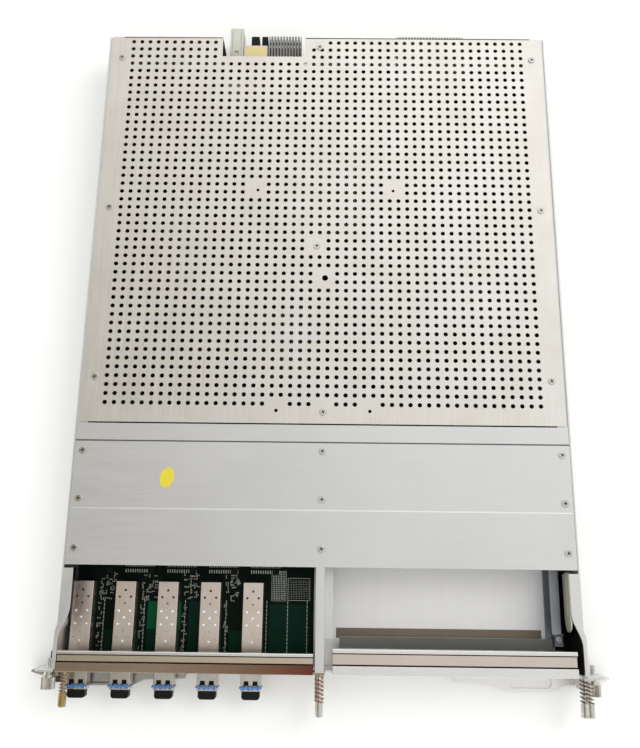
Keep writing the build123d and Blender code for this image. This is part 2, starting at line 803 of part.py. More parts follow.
# Port cages: folded boxes, open to the front, with four vent holes in a diamond
with BuildPart() as port_cages:
    for port_x in port_places:
        half = cage_width / 2
        cage_y = (front_y + cage_front_inset, front_y + cage_rear_inset)
        block((port_x - half, port_x + half), cage_y, (port_board_top, cage_top))
        inner_x = (port_x - half + cage_wall, port_x + half - cage_wall)
        inner_y = (cage_y[0], cage_y[1] - cage_wall)
        block(inner_x, inner_y, (port_board_top + cage_wall, cage_top - cage_wall), Mode.SUBTRACT)
        vent_y = cage_y[1] - vent_rear_inset
        along_vents = [(port_x, vent_y - vent_step), (port_x, vent_y + vent_step)]
        across_vents = [(port_x - vent_side, vent_y), (port_x + vent_side, vent_y)]
        with BuildSketch(Plane.XY.offset(cage_top - cage_wall)):
            with Locations(along_vents + across_vents):
                RegularPolygon(vent_radius, screw_sides)
        extrude(amount=cage_wall, mode=Mode.SUBTRACT)
save(port_cages, "port_cages")


def port_module(x):
    """A pluggable module: slim body in the cage, wider nose with two square port holes."""
    half = module_width / 2
    nose_half = half + nose_flange
    top = module_bottom + module_height
    nose_back = front_y - nose_start
    with BuildPart() as module:
        nose_z = (module_bottom - nose_flange, top + nose_flange)
        block((x - nose_half, x + nose_half), (nose_tip_y, nose_back), nose_z)
        chamfer(module.edges().filter_by(Axis.Y).group_by(Axis.Z)[-1], nose_chamfer)
        block((x - half, x + half), (nose_tip_y, nose_tip_y + module_length), (module_bottom, top))
        for hole_x in (x - port_hole_spacing / 2, x + port_hole_spacing / 2):
            hole_span = (hole_x - port_hole / 2, hole_x + port_hole / 2)
            hole_z = (module_bottom + 1.7, module_bottom + 1.7 + port_hole)
            block(hole_span, (nose_tip_y, nose_tip_y + port_hole_depth), hole_z, Mode.SUBTRACT)
            window = (hole_x - 1.7, hole_x + 1.7)
            block(window, (nose_tip_y + 3.6, nose_tip_y + 6.6), (top - 0.6, top + nose_flange), Mode.SUBTRACT)
        pin_y = nose_tip_y + bail_pivot_from_tip
        with Locations((x, pin_y, module_bottom + bail_pivot_height)):
            Cylinder(bail_pin_radius + turn_gap, 2 * nose_half, rotation=(0, 90, 0), mode=Mode.SUBTRACT)
    return module


def module_bail(x):
    """The wire loop of a module: two arms with inward pins and a bar across the top."""
    nose_half = module_width / 2 + nose_flange
    inner = nose_half + seat_gap
    outer = inner + bail_wire * 0.6
    pin_y = nose_tip_y + bail_pivot_from_tip
    pin_z = module_bottom + bail_pivot_height
    bar_z = pin_z + bail_rise
    arm_y = (pin_y - bail_wire / 2, pin_y + bail_wire / 2)
    with BuildPart() as bail:
        for side in (-1, 1):
            arm_z = (pin_z - bail_wire / 2, bar_z + bail_wire / 2)
            block((x + side * inner, x + side * outer), arm_y, arm_z)
            with BuildSketch(Plane.YZ.offset(x + side * inner)) as pin:
                with Locations((pin_y, pin_z)):
                    RegularPolygon(bail_pin_radius, screw_sides)
            extrude(pin.sketch, amount=-side * bail_pin_length)
        block((x - outer, x + outer), arm_y, (bar_z - bail_wire / 2, bar_z + bail_wire / 2))
        chamfer(bail.edges().filter_by(Axis.Y).group_by(Axis.Z)[-1], bail_wire * 0.3)
    return bail


def dust_plug(x):
    """A moulded plug with a post for each port hole."""
    hole_middle_z = module_bottom + 1.7 + port_hole / 2
    body_back = nose_tip_y - seat_gap
    post_half = port_hole / 2 - seat_gap
    with BuildPart() as plug:
        body_z = (hole_middle_z - plug_height / 2, hole_middle_z + plug_height / 2)
        block((x - plug_width / 2, x + plug_width / 2), (body_back - plug_length, body_back), body_z)
        fillet(plug.edges().filter_by(Axis.Z).group_by(Axis.Y)[0], 2.2)
        for post_x in (x - port_hole_spacing / 2, x + port_hole_spacing / 2):
            post_z = (hole_middle_z - post_half, hole_middle_z + post_half)
            block((post_x - post_half, post_x + post_half), (body_back, body_back + plug_post_length), post_z)
    return plug


for number, port_x in enumerate(port_places, start=1):
    save(port_module(port_x), "port_module_" + str(number))
    save(module_bail(port_x), "module_bail_" + str(number))
    save(dust_plug(port_x), "dust_plug_" + str(number))

# Main board with the chips, heat sinks, memory and converters that sit on it
with BuildPart() as main_board:
    board_y = (mate_y, main_board_back_y)
    block((-main_board_half_width, main_board_half_width), board_y, (main_board_bottom, main_board_top))
    chamfer(main_board.edges().filter_by(Axis.Z), 3.0)
save(main_board, "main_board")

heat_sink_places = [(-112.0, 66.0, 62.0), (6.0, 118.0, 70.0), (104.0, 40.0, 62.0), (-30.0, -10.0, 52.0)]
chip_top = main_board_top + chip_height
with BuildPart() as processor_chips:
    for sink_x, sink_y, sink_side in heat_sink_places:
        chip_half = sink_side * 0.36
        chip_span_x = (sink_x - chip_half, sink_x + chip_half)
        chip_span_y = (sink_y - chip_half, sink_y + chip_half)
        block(chip_span_x, chip_span_y, (main_board_top, chip_top))
save(processor_chips, "processor_chips")

with BuildPart() as heat_sinks:
    for sink_x, sink_y, sink_side in heat_sink_places:
        sink_span_y = (sink_y - sink_side / 2, sink_y + sink_side / 2)
        sink_span_x = (sink_x - sink_side / 2, sink_x + sink_side / 2)
        block(sink_span_x, sink_span_y, (chip_top, chip_top + heat_sink_base))
        fin_reach = (sink_side - fin_sheet) / 2
        for fin_x in [sink_x - fin_reach + 2 * fin_reach * fin / (fin_count - 1) for fin in range(fin_count)]:
            fin_span = (fin_x - fin_sheet / 2, fin_x + fin_sheet / 2)
            block(fin_span, sink_span_y, (chip_top + heat_sink_base, heat_sink_top))
save(heat_sinks, "heat_sinks")

with BuildPart() as memory_modules:
    for stick in range(4):
        stick_y = -72.0 + 9.0 * stick
        block((64.0, 131.0), (stick_y - 3.4, stick_y + 3.4), (main_board_top, main_board_top + 6.0))
        block((65.0, 130.0), (stick_y - 0.6, stick_y + 0.6), (main_board_top + 6.0, main_board_top + 26.0))
save(memory_modules, "memory_modules")

with BuildPart() as power_modules:
    for brick in range(3):
        brick_back_y = main_board_back_y - power_brick_rear_gap - power_brick_pitch * brick
        brick_left = -main_board_half_width + power_brick_edge_gap
        brick_x = (brick_left, brick_left + power_brick_width)
        brick_y = (brick_back_y - power_brick_depth, brick_back_y)
        block(brick_x, brick_y, (main_board_top, main_board_top + 12.0))
save(power_modules, "power_modules")

# Backplane side: guide socket, power connector with its keys, and the signal connectors
connector_top = main_board_top + connector_height
connector_front_y = main_board_back_y - 12.0
guide_middle_x = guide_left + guide_width / 2
guide_back_y = back_y + guide_reach
guide_z = main_board_top + connector_height / 2
with BuildPart() as guide_socket:
    guide_x = (guide_left, guide_left + guide_width)
    block(guide_x, (connector_front_y - 10.0, guide_back_y), (main_board_top, connector_top))
    with Locations((guide_middle_x, guide_back_y - guide_bore_depth / 2, guide_z)):
        Cylinder(guide_bore_radius, guide_bore_depth, rotation=(90, 0, 0), mode=Mode.SUBTRACT)
save(guide_socket, "guide_socket")

power_left = guide_left + guide_width + slide_gap
power_back_y = back_y + power_reach
with BuildPart() as power_connector:
    block((power_left, power_right), (connector_front_y, power_back_y), (main_board_top, connector_top - 2.0))
save(power_connector, "power_connector")

with BuildPart() as keying_blocks:
    for key_left, key_right in ((power_left + 6.2, power_left + 13.0), (power_left + 15.2, power_right)):
        block((key_left, key_right), (power_back_y, power_back_y + key_reach), (main_board_top + 3.0, connector_top - 3.6))
save(keying_blocks, "keying_blocks")


def signal_connector(x_span, wafers):
    """A row of thin contact wafers side by side in one moulded base."""
    back = back_y + signal_reach
    with BuildPart() as connector:
        block(x_span, (connector_front_y, back), (main_board_top, connector_top))
        for slot_x in shared_grid(wafers, *x_span):
            slot = (slot_x - wafer_slot / 2, slot_x + wafer_slot / 2)
            block(slot, (back_y - 6.0, back), (main_board_top + 8.0, connector_top), Mode.SUBTRACT)
    return connector


save(signal_connector((left_signal_left, left_signal_right), left_signal_wafers), "left_signal_connector")
save(signal_connector((right_signal_left, right_signal_right), right_signal_wafers), "right_signal_connector")
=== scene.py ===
"""Looks of a switch line card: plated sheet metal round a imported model, seen from above its front edge."""

import json
import math
import random

import bmesh
import bpy
from mathutils import Matrix, Vector

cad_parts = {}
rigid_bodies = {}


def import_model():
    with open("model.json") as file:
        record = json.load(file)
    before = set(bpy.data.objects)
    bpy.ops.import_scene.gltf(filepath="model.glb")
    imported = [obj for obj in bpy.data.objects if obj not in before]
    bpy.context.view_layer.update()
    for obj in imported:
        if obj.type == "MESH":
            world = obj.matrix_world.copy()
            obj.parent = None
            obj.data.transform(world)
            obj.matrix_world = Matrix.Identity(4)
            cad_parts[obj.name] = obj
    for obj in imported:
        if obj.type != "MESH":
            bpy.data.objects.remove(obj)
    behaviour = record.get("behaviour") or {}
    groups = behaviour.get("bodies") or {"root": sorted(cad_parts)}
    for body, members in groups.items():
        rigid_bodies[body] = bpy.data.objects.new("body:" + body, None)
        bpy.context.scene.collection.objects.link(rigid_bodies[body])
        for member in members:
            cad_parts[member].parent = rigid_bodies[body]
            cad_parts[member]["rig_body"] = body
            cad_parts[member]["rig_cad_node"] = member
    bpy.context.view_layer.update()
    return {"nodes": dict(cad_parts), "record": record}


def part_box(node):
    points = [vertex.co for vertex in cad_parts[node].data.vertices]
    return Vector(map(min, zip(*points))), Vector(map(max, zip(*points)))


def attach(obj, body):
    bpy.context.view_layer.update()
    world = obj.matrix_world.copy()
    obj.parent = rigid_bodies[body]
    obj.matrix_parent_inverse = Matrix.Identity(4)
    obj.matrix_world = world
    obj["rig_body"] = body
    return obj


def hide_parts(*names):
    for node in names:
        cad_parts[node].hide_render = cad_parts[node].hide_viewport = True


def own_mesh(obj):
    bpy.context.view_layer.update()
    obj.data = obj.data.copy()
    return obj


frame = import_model()
nodes = frame["nodes"]

MM = 0.001


# Colours and shader nodes

def linear(hex_code):
    """An sRGB hex value as linear red, green, blue and alpha."""
    channels = [int(hex_code[place:place + 2], 16) / 255 for place in (0, 2, 4)]
    return [c / 12.92 if c <= 0.04045 else ((c + 0.055) / 1.055) ** 2.4 for c in channels] + [1.0]


def add_node(tree, kind, inputs=None, **settings):
    """Add a shader node, with its settings, its socket values and the sockets it is fed from."""
    made = tree.nodes.new(kind)
    for name, value in settings.items():
        setattr(made, name, value)
    for name, value in (inputs or {}).items():
        if isinstance(value, bpy.types.NodeSocket):
            tree.links.new(value, made.inputs[name])
        else:
            made.inputs[name].default_value = value
    return made


def start_material(name):
    """A new material: itself, its node tree, its shader and where on the object it is."""
    material = bpy.data.materials.new(name)
    material.use_nodes = True
    tree = material.node_tree
    where = add_node(tree, "ShaderNodeTexCoord").outputs["Object"]
    return material, tree, tree.nodes["Principled BSDF"], where


# A rolling line is this many times as long as wide
line_stretch = 60
line_relief_mm = 0.2
mould_relief_mm = 0.1
# The colour of a moulding drifts in patches about 11 mm wide
mould_drift_scale = 90.0


def sheet_metal(name, dark, light, roughness, cloud_mm, brush_mm, brush_axis="Y", metallic=1.0):
    """Rolled and plated sheet: cloudy plating, and fine rolling lines along one way that catch the light."""
    material, tree, shader, where = start_material(name)
    clouds = add_node(tree, "ShaderNodeTexNoise", {
        "Vector": where, "Scale": 1000 / cloud_mm, "Detail": 4.0, "Roughness": 0.6})
    along = [1000 / brush_mm, 1000 / brush_mm, 1000 / brush_mm]
    along["XYZ".index(brush_axis)] = 1000 / (brush_mm * line_stretch)
    stretched = add_node(tree, "ShaderNodeMapping", {"Vector": where, "Scale": along})
    lines = add_node(tree, "ShaderNodeTexNoise", {
        "Vector": stretched.outputs["Vector"], "Scale": 1.0, "Detail": 3.0, "Roughness": 0.7})
    both = add_node(
        tree, "ShaderNodeMath", {0: clouds.outputs["Fac"], 1: lines.outputs["Fac"]}, operation="ADD")
    lightness = add_node(tree, "ShaderNodeMapRange", {
        "Value": both.outputs["Value"], "From Min": 0.7, "From Max": 1.3})
    colour = add_node(tree, "ShaderNodeMixRGB", {
        "Fac": lightness.outputs["Result"], "Color1": linear(dark), "Color2": linear(light)})
    tree.links.new(colour.outputs["Color"], shader.inputs["Base Color"])
    dulled = add_node(tree, "ShaderNodeMapRange", {
        "Value": lines.outputs["Fac"], "From Min": 0.25, "From Max": 0.75,
        "To Min": roughness - 0.06, "To Max": roughness + 0.08})
    tree.links.new(dulled.outputs["Result"], shader.inputs["Roughness"])
    shader.inputs["Metallic"].default_value = metallic
    bump = add_node(tree, "ShaderNodeBump", {
        "Height": lines.outputs["Fac"], "Strength": 0.04, "Distance": line_relief_mm * MM})
    tree.links.new(bump.outputs["Normal"], shader.inputs["Normal"])
    return material


def moulding(name, dark, light, roughness, grain_mm, gloss=0.5):
    """Moulded plastic: an even colour that drifts a little, with the fine spark texture of its mould."""
    material, tree, shader, where = start_material(name)
    drift = add_node(tree, "ShaderNodeTexNoise", {
        "Vector": where, "Scale": mould_drift_scale, "Detail": 3.0})
    grain = add_node(tree, "ShaderNodeTexNoise", {"Vector": where, "Scale": 1000 / grain_mm, "Detail": 2.0})
    colour = add_node(tree, "ShaderNodeMixRGB", {
        "Fac": drift.outputs["Fac"], "Color1": linear(dark), "Color2": linear(light)})
    tree.links.new(colour.outputs["Color"], shader.inputs["Base Color"])
    shine = add_node(tree, "ShaderNodeMapRange", {
        "Value": grain.outputs["Fac"], "To Min": roughness - 0.1, "To Max": roughness + 0.1})
    tree.links.new(shine.outputs["Result"], shader.inputs["Roughness"])
    shader.inputs["Specular IOR Level"].default_value = gloss
    bump = add_node(tree, "ShaderNodeBump", {
        "Height": grain.outputs["Fac"], "Strength": 0.05, "Distance": mould_relief_mm * MM})
    tree.links.new(bump.outputs["Normal"], shader.inputs["Normal"])
    return material


def stained(material, painted_colour, x_mm, y_mm, z_mm=(-2, -1)):
    """Let a metal's colour run into a painted colour of light or shade between two places along each axis;
    by default at any height.
    """
    tree = material.node_tree
    shader = tree.nodes["Principled BSDF"]
    plain = shader.inputs["Base Color"].links[0].from_socket
    where = add_node(tree, "ShaderNodeTexCoord").outputs["Object"]
    place = add_node(tree, "ShaderNodeSeparateXYZ", {"Vector": where})
    amount = None
    for axis, (start, end) in (("X", x_mm), ("Y", y_mm), ("Z", z_mm)):
        reach = add_node(tree, "ShaderNodeMapRange", {
            "Value": place.outputs[axis], "From Min": start * MM, "From Max": end * MM}).outputs["Result"]
        amount = reach if amount is None else add_node(
            tree, "ShaderNodeMath", {0: amount, 1: reach}, operation="MULTIPLY").outputs["Value"]
    colour = add_node(tree, "ShaderNodeMixRGB", {
        "Fac": amount, "Color1": plain, "Color2": linear(painted_colour)})
    tree.links.new(colour.outputs["Color"], shader.inputs["Base Color"])
    return material


finishes = {
    # Electro-galvanised sheet, warm and cloudy, with the rolling lines just visible
    "zinc_sheet": sheet_metal("electro_galvanised_sheet", "DFDBD2", "ECE9E3", 0.4, 26.0, 0.9),
    # Bright sheet under soft light, nearly white, of the tray inside the bay; on the dimples of the cages
    # the same white is a painted highlight
    "white_tray_and_dimple_highlight": sheet_metal("white_tray_and_painted_highlight", "F1F0EE", "F8F7F6", 0.5, 60.0, 0.9, metallic=0.1),
    # Satin sheet of the front cover, the sides and the divider, a cool and even grey
    "satin_sheet": sheet_metal("satin_grey_sheet", "DDDDDC", "E5E5E4", 0.45, 60.0, 0.7, "X"),
    # The rear crease of the front cover turns from the light and reads as a grey line
    "crease_shade": sheet_metal("shaded_crease", "6E6E6D", "787877", 0.5, 60.0, 0.7, "X"),
    # The front crease turns towards the light and reads as a white line
    "crease_light": sheet_metal("lit_crease", "F2F2F1", "F8F8F7", 0.4, 60.0, 0.7, "X"),
    # Rails of a bluer, duller sheet that stand out from the white tray
    "rail_sheet": sheet_metal("blue_grey_rail_sheet", "9BA0A8", "ADB1B7", 0.45, 20.0, 0.7),
    # Steel guides, warm and pale on the right; on the left, where they lie in shadow, that shade is painted
    # in as a dark brown
    "guide_sheet": stained(
        sheet_metal("steel_guide_painted_shade", "C9C6B8", "DCD9CA", 0.4, 12.0, 0.7),
        "1E1712", (0, -100), (0, -100)),
    # Bright nickel plate with a warm cast, rolled along the panel
    "nickel_panel": sheet_metal("nickel_plated_panel", "E2E1DE", "EAE9E6", 0.26, 40.0, 0.5, "X"),
    # The port card's front is painted browner, and its bare front edge redder towards the middle of the
    # card: a painted reflection of something brown
    "port_panel": stained(
        sheet_metal("nickel_panel_painted_reflection", "A8977F", "B2A18B", 0.26, 40.0, 0.5, "X"),
        "6E3A2A", (-120, 0), (-239.8, -241.0), (38.5, 40.5)),
    # Chromated floor of the port card's groove, a satin beige
    "beige_groove": sheet_metal("beige_groove_floor", "CDBEA9", "D9CAB6", 0.32, 40.0, 0.5, "X"),
    # The blank's groove has the same plating, a little pinker
    "pink_groove": sheet_metal("pinkish_groove_floor", "D3C6BA", "DDD1C7", 0.3, 40.0, 0.5, "X"),
    # The blank's tongue lies in its own shadow, and that shade is painted into it as a dark grey
    "tongue_painted_shade": sheet_metal("grey_tongue_painted_shade", "7D7F7B", "8A8C87", 0.5, 30.0, 0.7, "X"),
    # Thin tin-plated strip that is pressed into cages, warm and clean
    "cage_sheet": sheet_metal("tin_plated_strip", "DDCFC4", "EADFD5", 0.34, 9.0, 0.4),
    # Turned and plated steel of the screws and the pins, with small bright streaks
    "plated_screw": sheet_metal("bright_zinc_plate", "BDBAB3", "E0DED8", 0.25, 4.0, 0.3),
    # The left captive screw is yellow passivated and reads as brass
    "brass_screw": sheet_metal("passivated_brass", "8F7B4C", "C7B07A", 0.28, 4.0, 0.3),
    # Drawn wire of the left spring, a plain silver
    "spring_steel": sheet_metal("drawn_spring_wire", "9A948A", "CFC9C0", 0.25, 3.0, 0.25),
    # Bronzed wire of the right springs, darker and browner
    "bronze_spring": sheet_metal("bronzed_spring_wire", "5E5142", "93826C", 0.28, 3.0, 0.25),
    # Copper-coated wire of the middle springs, with a red cast
    "copper_spring": sheet_metal("copper_coated_wire", "7A5347", "B98A78", 0.25, 3.0, 0.25),
    # Tumbled casting of the left lever, an even mid grey
    "cast_lever": sheet_metal("tumbled_zinc_casting", "AFADA6", "C2C0B9", 0.38, 5.0, 1.1, "X"),
    # The left claw lies in shadow, and its casting is painted a dark olive as that shade
    "left_claw_painted_shade": sheet_metal("olive_casting_painted_shade", "5C5746", "716B57", 0.38, 5.0, 1.1, "X"),
    # The right lever and claw are bare castings in full light, and that light is painted in, nearly white
    "right_side_painted_light": sheet_metal("zinc_casting_painted_light", "F4F2F0", "FAF8F6", 0.4, 5.0, 1.1, "X"),
    # Fins under the cover: they only show as grey through the holes
    "anodised_fins": sheet_metal("clear_anodised_fins", "6E7072", "8F9193", 0.45, 12.0, 0.6),
    # Nickel on the module noses, brighter than the cages
    "module_nickel": sheet_metal("nickel_plated_casting", "C3BEB6", "DDD9D1", 0.26, 5.0, 0.4),
    # Solder mask over bare laminate, nearly black
    "green_board": moulding("solder_mask_laminate", "070F0B", "0B1B13", 0.4, 0.6, gloss=0.05),
    # Solder mask over a copper plane that the light reaches, a clear green
    "bright_mask": moulding("bright_solder_mask", "084529", "0A5A35", 0.4, 0.6, gloss=0.05),
    # Solder mask over copper in the shadow of the cages, a deep green
    "dim_mask": moulding("dim_solder_mask", "08211A", "0A3022", 0.4, 0.6, gloss=0.05),
    # Ink of the board's outlines and dashed lines, a pale grey without shine
    "board_ink": moulding("board_marking_ink", "7C8880", "A5AEA7", 0.6, 0.4),
    # Tinned pads, pins and the ends of small parts, which sparkle against the mask
    "solder_tin": sheet_metal("tinned_solder", "8E928C", "C2C4BD", 0.3, 2.0, 0.3),
    # Ceramic bodies of the smallest parts, a dull brown
    "chip_ceramic": moulding("brown_ceramic_part", "3A3028", "6B5C4C", 0.5, 0.3),
    # Epoxy of the chip packages, a flat black; the same black is painted into the recess of each screw as
    # shade
    "black_chip": moulding("epoxy_chip_and_recess_shade", "121212", "1C1C1C", 0.6, 0.3, gloss=0.12),
    # Glass-filled nylon of the sockets and keying blocks, black with a slight sheen
    "black_moulding": moulding("black_glass_filled_nylon", "101010", "1C1C1C", 0.55, 0.35, gloss=0.15),
    # Polymer wafers between the contacts, a mid grey
    "grey_wafers": moulding("grey_connector_wafers", "6E6C69", "8B8985", 0.5, 0.5),
    # Liquid crystal polymer of the guide block, a warm pale grey
    "white_moulding": moulding("pale_liquid_crystal_polymer", "B9B8AC", "D2D1C6", 0.5, 0.5),
    # Polymer of the power connector, pale with a pinkish cast
    "pale_moulding": moulding("pinkish_connector_polymer", "CFBDBB", "DDD0CB", 0.5, 0.5),
    # Enamel on the wire latches: blue with bright, wet highlights
    "blue_bail": moulding("blue_enamelled_bail", "2C63A8", "5E93D0", 0.2, 0.8),
    # Rubbery black of the plugs, with only a soft shine
    "soft_plug": moulding("black_plug_elastomer", "0A0A0B", "151518", 0.4, 0.5, gloss=0.2),
    # Blank paper of the oval sticker, a strong matt yellow
    "yellow_paper": moulding("blank_yellow_paper", "CDBE30", "DCCB3E", 0.6, 0.3),
    # Blank label on the power connector, straw yellow
    "pale_label": moulding("blank_straw_label", "D8C680", "E6D79A", 0.6, 0.3),
    # Painted darkening: a flat grey-brown band on the tray's floor behind the blank's tongue
    "painted_dark_band": moulding("painted_grey_brown_band", "776B5D", "85796A", 0.5, 0.8, gloss=0.2),
    # Painted highlights: warm, bright strips along the right guide, where it catches the light
    "guide_painted_highlight": sheet_metal("painted_highlight_strip", "F0EAD2", "FAF5E2", 0.3, 6.0, 0.4),
    # Painted shade: black strips laid where gaps lie in shadow, without shine
    "painted_black_shade": moulding("painted_shade_strip", "0C0B0A", "1A1816", 0.8, 0.5, gloss=0.05),
}

for part in frame["record"]["subparts"]:
    piece = nodes[part["node"]]
    piece.data.materials.clear()
    piece.data.materials.append(finishes[part["material_slot"]])


# Modelling helpers: sizes are in millimetres, and every finished mesh holds its own place

least_corner_degrees = 30
merge_distance = 0.001


def only(piece):
    """Select one piece alone and make it the active one."""
    bpy.ops.object.select_all(action="DESELECT")
    piece.select_set(True)
    bpy.context.view_layer.objects.active = piece
    return piece


def edit(piece):
    """Open one piece for editing, all selected."""
    only(piece)
    bpy.ops.object.mode_set(mode="EDIT")
    bpy.ops.mesh.select_all(action="SELECT")


def leave_edit():
    """Close the piece that is open for editing."""
    bpy.ops.object.mode_set(mode="OBJECT")


def pick_faces(piece, test):
    """In edit mode, select only the faces whose middle (in mm) and normal pass the test."""
    bpy.ops.mesh.select_mode(type="FACE")
    bpy.ops.mesh.select_all(action="DESELECT")
    live = bmesh.from_edit_mesh(piece.data)
    for face in live.faces:
        if test(face.calc_center_median() / MM, face.normal):
            face.select_set(True)
    bmesh.update_edit_mesh(piece.data)


def pick_edges(piece, test):
    """In edit mode, select only the edges whose two ends (in mm) pass the test."""
    bpy.ops.mesh.select_mode(type="EDGE")
    bpy.ops.mesh.select_all(action="DESELECT")
    live = bmesh.from_edit_mesh(piece.data)
    for line in live.edges:
        if test(line.verts[0].co / MM, line.verts[1].co / MM):
            line.select_set(True)
    bmesh.update_edit_mesh(piece.data)


def settle(piece):
    """Put a piece's place and turn into its mesh."""
    only(piece)
    bpy.ops.object.transform_apply(location=True, rotation=True, scale=True)
    return piece


def new_block(name, low, high):
    """A block between two corners."""
    bpy.ops.object.select_all(action="DESELECT")
    bpy.ops.mesh.primitive_cube_add(size=1, location=[(a + b) / 2 * MM for a, b in zip(low, high)])
    piece = bpy.context.object
    piece.name = name
    piece.scale = [(b - a) * MM for a, b in zip(low, high)]
    return settle(piece)


def new_rod(name, middle, radius, length, axis="Z", sides=32):
    """A round bar along one axis."""
    turns = {"X": (0, math.pi / 2, 0), "Y": (math.pi / 2, 0, 0), "Z": (0, 0, 0)}
    bpy.ops.object.select_all(action="DESELECT")
    bpy.ops.mesh.primitive_cylinder_add(
        vertices=sides, radius=radius * MM, depth=length * MM,
        location=[value * MM for value in middle], rotation=turns[axis])
    piece = bpy.context.object
    piece.name = name
    return settle(piece)


def apply_modifiers(piece):
    """Work every modifier of a piece into its mesh."""
    only(piece)
    for modifier in list(piece.modifiers):
        bpy.ops.object.modifier_apply(modifier=modifier.name)
    return piece


def round_edges(piece, width, segments=2):
    """Round every edge that turns by more than the least angle of a real corner."""
    bevel = piece.modifiers.new("rounding", "BEVEL")
    bevel.width = width * MM
    bevel.segments = segments
    bevel.limit_method = "ANGLE"
    bevel.angle_limit = math.radians(least_corner_degrees)
    return apply_modifiers(piece)


def cut(piece, tool):
    """Take one closed shape out of another and drop the tool."""
    knife = piece.modifiers.new("cut", "BOOLEAN")
    knife.object = tool
    knife.solver = "EXACT"
    apply_modifiers(piece)
    bpy.data.objects.remove(tool)
    return piece


def join(name, pieces):
    """Make one mesh of several pieces."""
    bpy.ops.object.select_all(action="DESELECT")
    for piece in pieces:
        piece.select_set(True)
    bpy.context.view_layer.objects.active = pieces[0]
    if len(pieces) > 1:
        bpy.ops.object.join()
    pieces[0].name = name
    return pieces[0]


def copy_at(piece, name, shift, turn=0.0, about=(0, 0)):
    """A copy with its own mesh, turned about an upright axis and then moved."""
    made = piece.copy()
    made.data = piece.data.copy()
    made.name = name
    bpy.context.scene.collection.objects.link(made)
    pivot = Vector((about[0] * MM, about[1] * MM, 0))
    spin = Matrix.Translation(pivot) @ Matrix.Rotation(turn, 4, "Z") @ Matrix.Translation(-pivot)
    made.data.transform(Matrix.Translation(Vector(shift) * MM) @ spin)
    return made


def cad_copy(node, name):
    """A copy of a CAD node with its loose triangles merged into whole faces."""
    made = nodes[node].copy()
    made.data = nodes[node].data.copy()
    made.name = name
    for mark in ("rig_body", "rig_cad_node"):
        del made[mark]
    made.parent = None
    bpy.context.scene.collection.objects.link(made)
    edit(made)
    bpy.ops.mesh.remove_doubles(threshold=merge_distance * MM)
    bpy.ops.mesh.dissolve_limited(angle_limit=math.radians(1.0))
    leave_edit()
    return made


def finish_piece(piece, body, slot_name, replaces=(), smooth_angle=35, finish=None):
    """Shade a piece, give it its finish and let it ride on its body."""
    apply_modifiers(piece)
    bpy.ops.object.shade_smooth_by_angle(angle=math.radians(smooth_angle))
    weighted = piece.modifiers.new("weighted", "WEIGHTED_NORMAL")
    weighted.keep_sharp = True
    apply_modifiers(piece)
    piece.data.materials.clear()
    piece.data.materials.append(finish or finishes[slot_name])
    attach(piece, body)
    if replaces:
        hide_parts(*replaces)
    return piece


def tint(piece, finish, test):
    """Give some faces of a finished piece a second finish."""
    piece.data.materials.append(finish)
    edit(piece)
    pick_faces(piece, test)
    piece.active_material_index = len(piece.data.materials) - 1
    bpy.ops.object.material_slot_assign()
    leave_edit()
    return piece


def repeated(piece, *rows, weld=0.0):
    """Repeat a piece along rows, each a count and a step in mm, and weld what meets within a distance."""
    for count, step in rows:
        row = piece.modifiers.new("row", "ARRAY")
        row.count = count
        row.use_relative_offset = False
        row.use_constant_offset = True
        row.constant_offset_displace = [value * MM for value in step]
        row.use_merge_vertices = weld > 0
        row.merge_threshold = weld * MM
    return apply_modifiers(piece)


# Perforated cover: one cell is drilled, then repeated 48 by 46 times

hole_pitch = 6.75
hole_columns = 48
hole_rows = 46
hole_radius = 1.74
rear_row_inset = 4.7
cover_top = 41.0
cover_sheet = 1.0
notch_x = (-85.2, -17.5)
notch_front_inset = 17.8
notch_rows = 3
rear_wall_foot = 12.6
rear_wall_half_width = 162.1
nearly = 0.01
# Single holes outside the grid's pattern: place and radius
extra_holes = (
    (-52.2, 108.8, 1.2), (53.3, 108.9, 1.2), (1.0, 36.1, 2.3), (-33.6, -66.6, 1.3), (34.6, -66.6, 1.3))
# Opening of the rear wall for the right connector
window_x = (58.8, 116.5)
window_z = (5.0, 24.6)


def missing_holes():
    """Cells of the sheet that were left undrilled, as (column, row from the rear)."""
    last_row = hole_rows - 1
    # The rear notch and its rim
    groups = {(column, row) for column in range(11, 22) for row in range(notch_rows)}
    # Squares round two small holes, a screw and the large hole
    for first_column, first_row in ((15, 19), (31, 19), (22, 26), (23, 30)):
        groups |= {(first_column + i, first_row + j) for i in (0, 1) for j in (0, 1)}
    # Pairs in the front row, round two small holes and a screw
    for first_column in (18, 23, 28):
        groups |= {(first_column, last_row), (first_column + 1, last_row)}
    # A pair in the rear row, round a screw
    groups |= {(22, 0), (23, 0)}
    return groups


